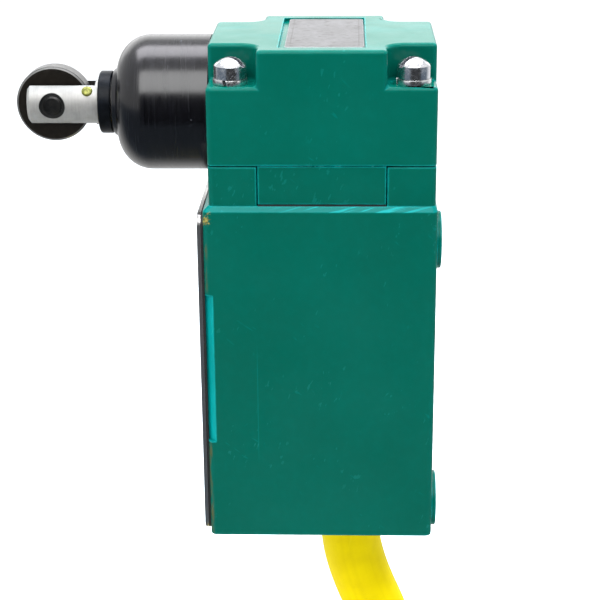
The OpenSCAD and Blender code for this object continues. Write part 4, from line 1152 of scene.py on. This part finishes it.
def make_cover(rubber):
    inner = HOUSE_LEFT - COVER_GASKET_T
    outer = inner - COVER_T
    gasket = sheet_on_cover("cover_seal", [(HOUSE_LEFT, cover_outline()), (inner, cover_outline())])
    plate = sheet_on_cover("cover_sheet", [
        (inner, cover_outline()), (outer + 0.2, cover_outline()), (outer + 0.06, cover_outline(0.06)),
        (outer, cover_outline(0.2))])
    screw_spots = four(COVER_SCREW_Y, COVER_SCREW_Z)
    shank_hole = COVER_SCREW_R + 0.05
    sink = [(outer - 0.5, 0), (outer - 0.5, COVER_SCREW_HEAD_R + 0.55), (outer + 1.3, shank_hole),
            (HOUSE_LEFT + 1, shank_hole), (HOUSE_LEFT + 1, 0)]
    for piece in (gasket, plate):
        cut(
            piece,
            rods("X", [(0, y, z) for y, z in four(HOLE_Y, HOLE_Z)], HOUSE_LEFT - 3, HOUSE_LEFT + 1, HOLE_R),
            joined("sinks", [turned("sink", sink, "X", (0, y, z), steps=48) for y, z in screw_spots]))
    cut(gasket, box("opening", (inner - 1, -CAVITY_HALF, CAVITY_BOTTOM),
                    (HOUSE_LEFT + 1, CAVITY_HALF, CAVITY_TOP)))
    finish_piece(gasket, "case", rubber, ["cover_gasket"])
    steel = ground_steel(
        "cover_steel", (0.36, 0.36, 0.36), (0.47, 0.47, 0.46), (1, 0.06, 1), (0.32, 0.46), 0.006)
    finish_piece(plate, "case", steel, ["cover_plate"])
    zinc = zinc_plate("cover_screw_zinc")
    screws = countersunk_screws().grow(
        "cover_fixings", [(outer, y, z) for y, z in screw_spots],
        [(90, spin, -90) for spin in (20, 75, 130, 5)], zinc)
    round_edges(screws, 0.08, 2, 50)
    finish_piece(screws, "case", zinc, ["cover_screws"])


def make_head_screws():
    spots = [(HEAD_X + x, y) for y, x in four(HEAD_SCREW_Y, HEAD_SCREW_X)]
    slot_turns = (148, 36, 75, 10)
    split_turns = (258, 200, 40, 120)
    screw_zinc = zinc_plate("screw_zinc")
    screws = fillister_screws().grow(
        "head_fixings", [(x, y, LEDGE_Z + WASHER_T) for x, y in spots],
        [(0, 0, a) for a in slot_turns], screw_zinc)
    round_edges(screws, 0.14, 3, 40)
    finish_piece(screws, "case", screw_zinc, ["head_screws"], 40)
    washer_zinc = zinc_plate("washer_zinc", (0.62, 0.62, 0.63), (0.80, 0.80, 0.80), (0.2, 0.34))
    washers = split_washers().grow(
        "spring_washers", [(x, y, LEDGE_Z) for x, y in spots],
        [(0, 0, a) for a in split_turns], washer_zinc)
    round_edges(washers, 0.12, 2, 50)
    finish_piece(washers, "case", washer_zinc, ["lock_washers"])


def make_nameplate():
    low, high = HEAD_TOP - RECESS_T, HEAD_TOP - RECESS_T + PLATE_T
    plan = rectangle(HEAD_X - PLATE_HALF_X + PLATE_SHIFT_X, -PLATE_HALF_Y + PLATE_SHIFT_Y,
                     HEAD_X + PLATE_HALF_X + PLATE_SHIFT_X, PLATE_HALF_Y + PLATE_SHIFT_Y)
    whole = soften(plan, 1.0)
    middle_x, middle_y = HEAD_X + PLATE_SHIFT_X, PLATE_SHIFT_Y
    inner = [(middle_x + (x - middle_x) * 0.987, middle_y + (y - middle_y) * 0.994) for x, y in whole]
    piece = loft("plate_blank", [(low, whole), (high - 0.1, whole), (high, inner)])
    finish_piece(piece, "case", nameplate_aluminium(), ["nameplate"])


def make_bushing():
    face = HEAD_LEFT
    straight_end = NOSE_ROOT + SHOULDER_R
    shoulder = [(straight_end - SHOULDER_R * math.sin(a), BUSHING_R - SHOULDER_R + SHOULDER_R * math.cos(a))
                for a in (math.radians(d) for d in range(0, 91, 5))]
    profile = [(BUSHING_END, BUSHING_BORE_R), (BUSHING_END, SPIGOT_R - 0.4), (BUSHING_END - 0.4, SPIGOT_R),
               (face, SPIGOT_R), (face, SEAL_INNER_R), (face - SEAL_DEPTH, SEAL_INNER_R),
               (face - SEAL_DEPTH, SEAL_OUTER_R), (face, SEAL_OUTER_R),
               (face, BUSHING_R - 0.25), (face - 0.25, BUSHING_R)]
    profile += shoulder
    profile += [(NOSE_ROOT, 7.35), (NOSE_TIP + 0.12, 7.0), (NOSE_TIP, 6.92), (NOSE_TIP, 6.8),
                (NOSE_TIP + 0.08, POCKET_R), (POCKET_END, POCKET_R), (POCKET_END, BUSHING_BORE_R)]
    piece = turned("bushing_shell", profile, "X", (0, 0, AXIS_Z), closed=True, steps=160)
    finish_piece(piece, "case", turned_black(), ["plunger_bushing"])
    collar_plan = soften([(COLLAR_LEFT, PLUNGER_R), (COLLAR_LEFT, COLLAR_R), (COLLAR_RIGHT, COLLAR_R),
                          (COLLAR_RIGHT, PLUNGER_R)], [0.1, 0.45, 0.3, 0.1])
    collar = turned("wiper_ring", collar_plan, "X", (0, 0, AXIS_Z), closed=True, steps=128)
    finish_piece(collar, "plunger_unit", black_collar(), ["wiper_collar"])


def make_plunger():
    spigot_end = CAM_RIGHT + SPRING_SPIGOT_L
    profile = [(TIP_X, 0), (TIP_X, PLUNGER_R - 0.6), (TIP_X + 0.6, PLUNGER_R), (CAM_LEFT, PLUNGER_R),
               (CAM_LEFT, CAM_R), (CAM_RIGHT, CAM_R), (CAM_RIGHT, SPRING_SPIGOT_R),
               (spigot_end, SPRING_SPIGOT_R), (spigot_end, 0)]
    piece = turned("fork_plunger", profile, "X", (0, 0, AXIS_Z), steps=128)
    sink = PLUNGER_R - SINK_DEPTH
    pin_bore = turned("pin_bore", [(-6, 0), (-6, SINK_R), (-sink, SINK_R), (-sink, PIN_R), (sink, PIN_R),
                                   (sink, SINK_R), (6, SINK_R), (6, 0)],
                      "Y", (ROLLER_X, 0, AXIS_Z), steps=64)
    index_hole = rod("index_hole", "Z", (0, 0, 0), PLUNGER_R - INDEX_DEPTH, PLUNGER_R + 2, INDEX_R, 32)
    index_hole.data.transform(index_place())
    ramp_low, ramp_end = AXIS_Z - CAM_R, CAM_RIGHT + 1
    ramp_high = ramp_low + (ramp_end - RAMP_FOOT) * RAMP_SLOPE
    ramp = prism("ramp", [(RAMP_FOOT, ramp_low - 12), (ramp_end, ramp_low - 12), (ramp_end, ramp_high),
                          (RAMP_FOOT, ramp_low)], -8, 8)
    ramp.data.transform(Matrix.Rotation(math.pi / 2, 4, "X"))
    slot = box("fork_slot", (TIP_X - 1, -FORK_SLOT / 2, AXIS_Z - 10), (FORK_ROOT, FORK_SLOT / 2, AXIS_Z + 10))
    cut(piece, slot, pin_bore, index_hole, ramp)
    round_edges(piece, 0.12, 2, 40)
    finish_piece(piece, "plunger_unit", plunger_satin(), ["plunger"], 30)


def index_place():
    """From the brass pin's own axis along Z to its place in the plunger."""
    return Matrix.Translation((INDEX_X, 0, AXIS_Z)) @ Matrix.Rotation(math.radians(INDEX_TILT), 4, "X")


def make_small_round_parts():
    foot, top = PLUNGER_R - INDEX_DEPTH, PLUNGER_R + INDEX_PROUD
    dome = [(foot, 0), (foot, INDEX_R), (top - 0.3, INDEX_R), (top - 0.14, INDEX_R * 0.88),
            (top - 0.04, INDEX_R * 0.6), (top, INDEX_R * 0.25), (top, 0)]
    pin = turned("index_bead", dome, "Z", (0, 0, 0), steps=48)
    pin.data.transform(index_place())
    brass = plain_finish(
        "index_brass", (0.045, 0.045, 0.008), (0.24, 0.24, 0.05), (0.2, 0.34), 3.0, 0.06, 1.3, Metallic=0.6)
    finish_piece(pin, "plunger_unit", brass, ["index_pin"])
    half = PLUNGER_R - 0.5
    axle_end = [(half, 0), (half, 0.7), (half - 0.06, 1.0), (half - 0.06, PIN_R - 0.35), (half - 0.3, PIN_R)]
    axle = turned("roller_axle", [(-along, radius) for along, radius in axle_end] + axle_end[::-1],
                  "Y", (ROLLER_X, 0, AXIS_Z), steps=64)
    black = plain_finish(
        "axle_black_oxide", (0.006, 0.006, 0.006), (0.018, 0.017, 0.016), (0.28, 0.44), 2.5, 0.01, 0.8,
        Metallic=0.6)
    finish_piece(axle, "plunger_unit", black, ["roller_pin"])
    rim = soften([(-ROLLER_HALF, SLEEVE_R), (-ROLLER_HALF, ROLLER_R - 0.4), (-ROLLER_HALF + 0.4, ROLLER_R),
                  (ROLLER_HALF - 0.4, ROLLER_R), (ROLLER_HALF, ROLLER_R - 0.4), (ROLLER_HALF, SLEEVE_R)],
                 [0, 0.08, 0.1, 0.1, 0.08, 0], steps=3)
    wheel = turned("roller_wheel", rim, "Y", (ROLLER_X, 0, AXIS_Z), closed=True, steps=160)
    finish_piece(wheel, "roller_unit", roller_steel(), ["roller"])
    lining = soften([(-ROLLER_HALF, PIN_R + 0.04), (-ROLLER_HALF, SLEEVE_R), (ROLLER_HALF, SLEEVE_R),
                     (ROLLER_HALF, PIN_R + 0.04)], [0.12, 0, 0, 0.12], steps=3)
    sleeve = turned("roller_lining", lining, "Y", (ROLLER_X, 0, AXIS_Z), closed=True, steps=96)
    bronze = plain_finish(
        "lining_bronze", (0.33, 0.19, 0.07), (0.48, 0.30, 0.12), (0.3, 0.45), 3.0, 0.01, 0.9, Metallic=1.0)
    finish_piece(sleeve, "roller_unit", bronze, ["roller_sleeve"])


def make_head_seal(rubber):
    piece = cad_copy("head_seal", "head_gasket")
    finish_piece(piece, "case", rubber, ["head_gasket"])


def make_cable_entry(rubber):
    corners = [math.radians(60 * k) for k in range(6)]
    hexagon = [(NUT_CORNER_R * math.cos(a) + GLAND_X, NUT_CORNER_R * math.sin(a)) for a in corners]
    nut = prism("gland_nut", hexagon, HOUSE_BOTTOM - NUT_H, HOUSE_BOTTOM)
    entry = (GLAND_X, 0, 0)
    chamfer = [(HOUSE_BOTTOM - 4, 0), (HOUSE_BOTTOM - 4, 8.9), (HOUSE_BOTTOM - 1.6, 11.6),
               (HOUSE_BOTTOM + 1, 11.6), (HOUSE_BOTTOM + 1, 0)]
    combine(nut, turned("chamfer", chamfer, "Z", entry, steps=96), "INTERSECT")
    thread = rod("thread", "Z", entry, HOUSE_BOTTOM - 0.5, CAVITY_BOTTOM - 1, GLAND_THREAD_R, 96)
    combine(nut, thread, "UNION")
    cut(nut, rod("gland_bore", "Z", entry, HOUSE_BOTTOM - 6, CAVITY_BOTTOM + 2, GLAND_INNER_R, 96))
    round_edges(nut, 0.25, 2, 40)
    nickel = zinc_plate("gland_nickel", (0.42, 0.40, 0.36), (0.62, 0.60, 0.55), (0.22, 0.36))
    finish_piece(nut, "case", nickel, ["cable_gland"])
    low, top = HOUSE_BOTTOM - GROMMET_BELOW, CAVITY_BOTTOM + GROMMET_ABOVE
    ribbed = [(low, 0), (low, CABLE_R + 0.25), (low + 0.25, CABLE_R + 0.5)]
    for k in range(3):
        z = low + 0.9 + 1.05 * k
        r = CABLE_R + 0.55 + 0.36 * (z - low) / 1.1 * 0.9
        ribbed += [(z, r), (z + 0.1, r - 0.3), (z + 0.45, r - 0.3), (z + 0.55, r + 0.12)]
    ribbed += [(HOUSE_BOTTOM - NUT_H, GROMMET_R), (top - 0.3, GROMMET_R), (top, GROMMET_R - 0.3), (top, 0)]
    grommet = turned("strain_relief", ribbed, "Z", (GLAND_X, 0, 0), steps=96)
    finish_piece(grommet, "case", rubber, ["cable_grommet"])


def coil_spot(angle, x):
    """A spot on the middle of the stored turns."""
    a = math.radians(angle)
    return Vector((x, COIL_R * math.cos(a), COIL_Z + COIL_R * math.sin(a)))


def cable_path():
    """The cable's centreline: down from the strain relief, then round the stored coil."""
    first = smooth_path([(GLAND_X, 0, HOUSE_BOTTOM - 6.5), *ROUTE], 3)
    coil = []
    for k in range(STEPS_PER_TURN * COIL_TURNS + 1):
        angle = COIL_START_ANGLE - 360 * k / STEPS_PER_TURN
        coil.append(coil_spot(angle, COIL_START_X - COIL_PITCH * k / STEPS_PER_TURN))
    return first[:-1] + coil


def make_cable():
    path = cable_path()
    cable = swept("yellow_cable", path, CABLE_R, 32)
    finish_piece(cable, "case", jacket_yellow(), ["cable_run", "cable_coil"])
    leads = make_conductors(path[-2], path[-1])
    ties = make_ties()


def lead_offset(number, first, count):
    """Where each ring of a conductor's tube lies in the bundle. The tube starts at ring first of count."""
    phase = math.pi / 2 * number + 0.6

    def offset(k):
        share = (k + first) / count
        spread = 2.0 + 1.4 * share ** 2 * (1 + 0.25 * number)
        return spread * math.cos(phase + 2.2 * share), spread * math.sin(phase + 2.2 * share)

    return offset


def make_conductors(before, end):
    """Four insulated wires with bare ends, which follow the coil past the cut jacket."""
    colours = [(0.02, 0.02, 0.022), (0.55, 0.55, 0.52), (0.40, 0.02, 0.015), (0.02, 0.20, 0.045)]
    last_x = COIL_START_X - COIL_PITCH * COIL_TURNS
    spots = [end - (end - before).normalized() * 4, end]
    spots += [coil_spot(COIL_START_ANGLE - 4 * k, last_x - 0.5 * k) for k in range(1, 10)]
    path = smooth_path(spots, 8)
    count = len(path) - 1
    skins, tips = [], []
    for number, tint in enumerate(colours):
        bare = len(path) - 12 + 2 * (number % 2)
        skin = swept("skin", path[:bare + 1], LEAD_R, 16, lead_offset(number, 0, count))
        shade = skin.data.color_attributes.new("wire_colour", "FLOAT_COLOR", "POINT")
        for value in shade.data:
            value.color = (*tint, 1)
        skins.append(skin)
        tips.append(swept("tip", path[bare - 1:], LEAD_CORE_R, 12, lead_offset(number, bare - 1, count)))
    skin_piece = merged("conductor_skins", skins)
    tip_piece = merged("conductor_tips", tips)
    finish_piece(skin_piece, "case", conductor_skin(), ["lead_ends"])
    copper = plain_finish(
        "bare_copper", (0.55, 0.24, 0.12), (0.80, 0.42, 0.25), (0.2, 0.36), 5.0, 0.03, 1.0, Metallic=1.0)
    finish_piece(tip_piece, "case", copper)
    return [skin_piece, tip_piece]


def merged(name, parts):
    """One object from several, which keeps their attributes."""
    bm = bmesh.new()
    for part in parts:
        bm.from_mesh(part.data)
        discard(part)
    mesh = bpy.data.meshes.new(name)
    bm.to_mesh(mesh)
    bm.free()
    made = bpy.data.objects.new(name, mesh)
    bpy.context.scene.collection.objects.link(made)
    return made


def make_ties():
    spots = []
    for angle in TIE_ANGLES:
        past_start = (COIL_START_ANGLE - angle) % 360 / 360
        middle = COIL_START_X - COIL_PITCH * (past_start + (COIL_TURNS - 1) / 2)
        spots.append(coil_spot(angle, middle))
    nylon = plain_finish(
        "tie_nylon", (0.010, 0.010, 0.011), (0.024, 0.024, 0.026), (0.32, 0.46), 3.0, 0.02, 0.6)
    ties = coil_ties().grow("cable_straps", spots, [(angle, 0, 0) for angle in TIE_ANGLES], nylon)
    return finish_piece(ties, "case", nylon, ["cable_ties"])


def finish_inner_pieces():
    """Finishes for the pieces inside, which are the CAD nodes themselves. Returns the rubber, which the
    seals outside share."""
    rubber = plain_finish(
        "seal_rubber", (0.0025, 0.0025, 0.0025), (0.0065, 0.0064, 0.0062), (0.55, 0.7), 1.5, 0.02)
    steel = ground_steel(
        "stop_ring_steel", (0.30, 0.29, 0.28), (0.45, 0.44, 0.42), (1, 0.05, 0.05), (0.28, 0.42))
    spring = ground_steel(
        "spring_wire_steel", (0.42, 0.41, 0.40), (0.62, 0.61, 0.60), (0.4, 1, 1), (0.2, 0.34))
    zinc = zinc_plate("inner_zinc")
    brass = plain_finish(
        "guide_brass", (0.52, 0.36, 0.10), (0.74, 0.55, 0.20), (0.2, 0.34), 3.0, 0.01, 0.6, Metallic=1.0)
    contact = plain_finish(
        "contact_bronze", (0.46, 0.24, 0.11), (0.66, 0.38, 0.20), (0.22, 0.36), 4.0, 0.01, 0.8, Metallic=1.0)
    finishes = {
        "bushing_seal": ("gasket_rubber", rubber),
        "pin_seal": ("gasket_rubber", rubber),
        "stop_ring": ("plunger_steel", steel),
        "return_spring": ("spring_steel", spring),
        "contact_spring": ("spring_steel", spring),
        "spring_cup": ("zinc_steel", zinc),
        "switch_screws": ("zinc_steel", zinc),
        "terminal_screws": ("zinc_steel", zinc),
        "push_pin": ("plunger_steel", steel),
        "pin_guide": ("brass", brass),
        "bridge_contact": ("contact_brass", contact),
        "fixed_contacts": ("contact_brass", contact),
        "switch_base": ("phenolic", plain_finish(
            "moulded_phenolic", (0.020, 0.016, 0.013), (0.050, 0.040, 0.032), (0.34, 0.5), 2.5, 0.02, 0.9)),
        "switch_cover": ("clear_cover", plain_finish(
            "smoky_cover", (0.34, 0.33, 0.30), (0.50, 0.48, 0.44), (0.14, 0.26), 1.6, 0.01, 0.2)),
        "switch_button": ("button_plastic", plain_finish(
            "button_red", (0.55, 0.10, 0.03), (0.70, 0.16, 0.05), (0.26, 0.4), 2.5, 0.01, 0.8)),
        "contact_carrier": ("carrier_plastic", plain_finish(
            "carrier_ivory", (0.62, 0.58, 0.48), (0.74, 0.70, 0.60), (0.32, 0.46), 2.5, 0.01, 0.5)),
        "lead_wires": ("wire_insulation", plain_finish(
            "inner_wire_red", (0.32, 0.02, 0.015), (0.44, 0.035, 0.025), (0.36, 0.5), 3.0, 0.01, 0.7)),
        "potting": ("resin", plain_finish(
            "cast_resin", (0.22, 0.16, 0.06), (0.34, 0.26, 0.11), (0.12, 0.24), 0.6, 0.05, 0.12)),
    }
    for node, (slot, finish) in finishes.items():
        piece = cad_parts[node]
        piece.data.materials.clear()
        piece.data.materials.append(finish)
    return rubber


def squeeze_springs():
    """Gives each spring its own copy of its mesh."""
    for node, axis, moving_end, length, travel in (
        ("return_spring", (1, 0, 0), (CAM_RIGHT, 0, AXIS_Z), RETURN_SPRING_L, TRAVEL),
        ("contact_spring", (0, 0, 1), (HEAD_X, 0, CONTACT_SPRING_TOP), CONTACT_SPRING_L, CARRIER_DROP),
    ):
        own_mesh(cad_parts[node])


# ---- stage and light ----

LIGHT_TARGET = (-45, 0, 40)
FLOOR_Z = -268.0
# In metres
FLOOR_HALF = 40.0
CARD_Y, CARD_LEFT, CARD_RIGHT, CARD_BOTTOM, CARD_TOP = -1.3, -0.65, 1.5, -0.6, 0.68
# The world is SKY where its direction's Z or Y is past these ranges, and BELOW lower down in front.
# Shiny pieces mirror BELOW in place of the floor.
SKY, BELOW = (1.08, 1.08, 1.08), (0.16, 0.20, 0.25)
SKY_Z, SKY_Y = (-0.06, -0.013), (0.1, 0.5)


def plane(name, corners, finish):
    """A flat piece of the stage through four corners in metres."""
    made = bpy.data.objects.new(name, bpy.data.meshes.new(name))
    made.data.from_pydata(corners, [], [(0, 1, 2, 3)])
    made.data.materials.append(finish)
    bpy.context.scene.collection.objects.link(made)
    made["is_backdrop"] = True
    return made


def make_stage():
    """The floor, a dark card that the pieces mirror from the front, and the world's light."""
    outline = rectangle(-FLOOR_HALF, -FLOOR_HALF, FLOOR_HALF, FLOOR_HALF)
    floor = plane("floor", [(x, y, FLOOR_Z * MM) for x, y in outline], floor_white())
    floor.visible_glossy = False
    outline = rectangle(CARD_LEFT, CARD_BOTTOM, CARD_RIGHT, CARD_TOP)
    card = plane("dark_card", [(x, CARD_Y, z) for x, z in outline],
                 plain_finish("card_black", (0.004, 0.004, 0.005), (0.006, 0.006, 0.007), (0.8, 0.9)))
    card.visible_camera = card.visible_shadow = False
    world = bpy.data.worlds.new("studio")
    world.use_nodes = True
    nodes, links = world.node_tree.nodes, world.node_tree.links
    split = nodes.new("ShaderNodeSeparateXYZ")
    links.new(nodes.new("ShaderNodeTexCoord").outputs["Generated"], split.inputs[0])
    open_sides = []
    for axis, (start, end) in (("Z", SKY_Z), ("Y", SKY_Y)):
        step = nodes.new("ShaderNodeMapRange")
        step.inputs["From Min"].default_value, step.inputs["From Max"].default_value = start, end
        links.new(split.outputs[axis], step.inputs["Value"])
        open_sides.append(step.outputs["Result"])
    either = nodes.new("ShaderNodeMath")
    either.operation = "MAXIMUM"
    for socket, side in zip(either.inputs, open_sides):
        links.new(side, socket)
    shade = nodes.new("ShaderNodeMix")
    shade.data_type = "RGBA"
    shade.inputs[6].default_value = (*BELOW, 1)
    shade.inputs[7].default_value = (*SKY, 1)
    links.new(either.outputs[0], shade.inputs[0])
    links.new(shade.outputs[2], nodes["Background"].inputs["Color"])
    bpy.context.scene.world = world
    bpy.context.scene.view_settings.view_transform = "Standard"


def softbox(name, elevation, distance, width, height, radiance, tint=(1, 1, 1), lights=True,
            mirrored_in=True):
    """A soft light that looks at the switch. Elevation is measured from the front, over the top to the
    back, and distance, width and height are in metres. It can light the surfaces, be mirrored in them,
    or both."""
    target = Vector(LIGHT_TARGET) * MM
    a = math.radians(elevation)
    away = Vector((0, -math.cos(a), math.sin(a)))
    light = bpy.data.lights.new(name, "AREA")
    light.shape = "RECTANGLE"
    light.size, light.size_y = width, height
    light.energy = radiance * math.pi * width * height
    light.color = tint
    lamp = bpy.data.objects.new(name, light)
    lamp.location = target + away * distance
    lamp.rotation_euler = away.to_track_quat("Z", "Y").to_euler()
    lamp.visible_camera = False
    lamp.visible_diffuse, lamp.visible_glossy = lights, mirrored_in
    bpy.context.scene.collection.objects.link(lamp)


def make_lights():
    softbox("overhead", 107, 0.8, 0.9, 0.38, 7.5, (0.96, 0.94, 1.0), lights=False)
    softbox("overhead_fill", 100, 0.8, 1.2, 0.60, 15.0, (0.82, 1.0, 1.16), mirrored_in=False)
    softbox("front", 47.5, 0.9, 0.9, 0.60, 6.0, lights=False)
    softbox("front_fill", 60, 0.9, 1.1, 0.66, 7.0, (0.95, 1.0, 1.05), mirrored_in=False)
    softbox("back", 158, 1.0, 1.6, 0.55, 1.2)


make_camera()
rubber = finish_inner_pieces()
make_cable_entry(rubber)
make_cable()
make_housing()
make_head()
make_cover(rubber)
make_head_seal(rubber)
make_head_screws()
make_nameplate()
make_bushing()
make_plunger()
make_small_round_parts()
squeeze_springs()
make_stage()
make_lights()


def plain(value):
    """Vectors and tuples as plain lists of numbers."""
    return [plain(v) for v in value] if hasattr(value, "__len__") else float(value)


{"cad": plain(cad_bounds), "visual": plain(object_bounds())}
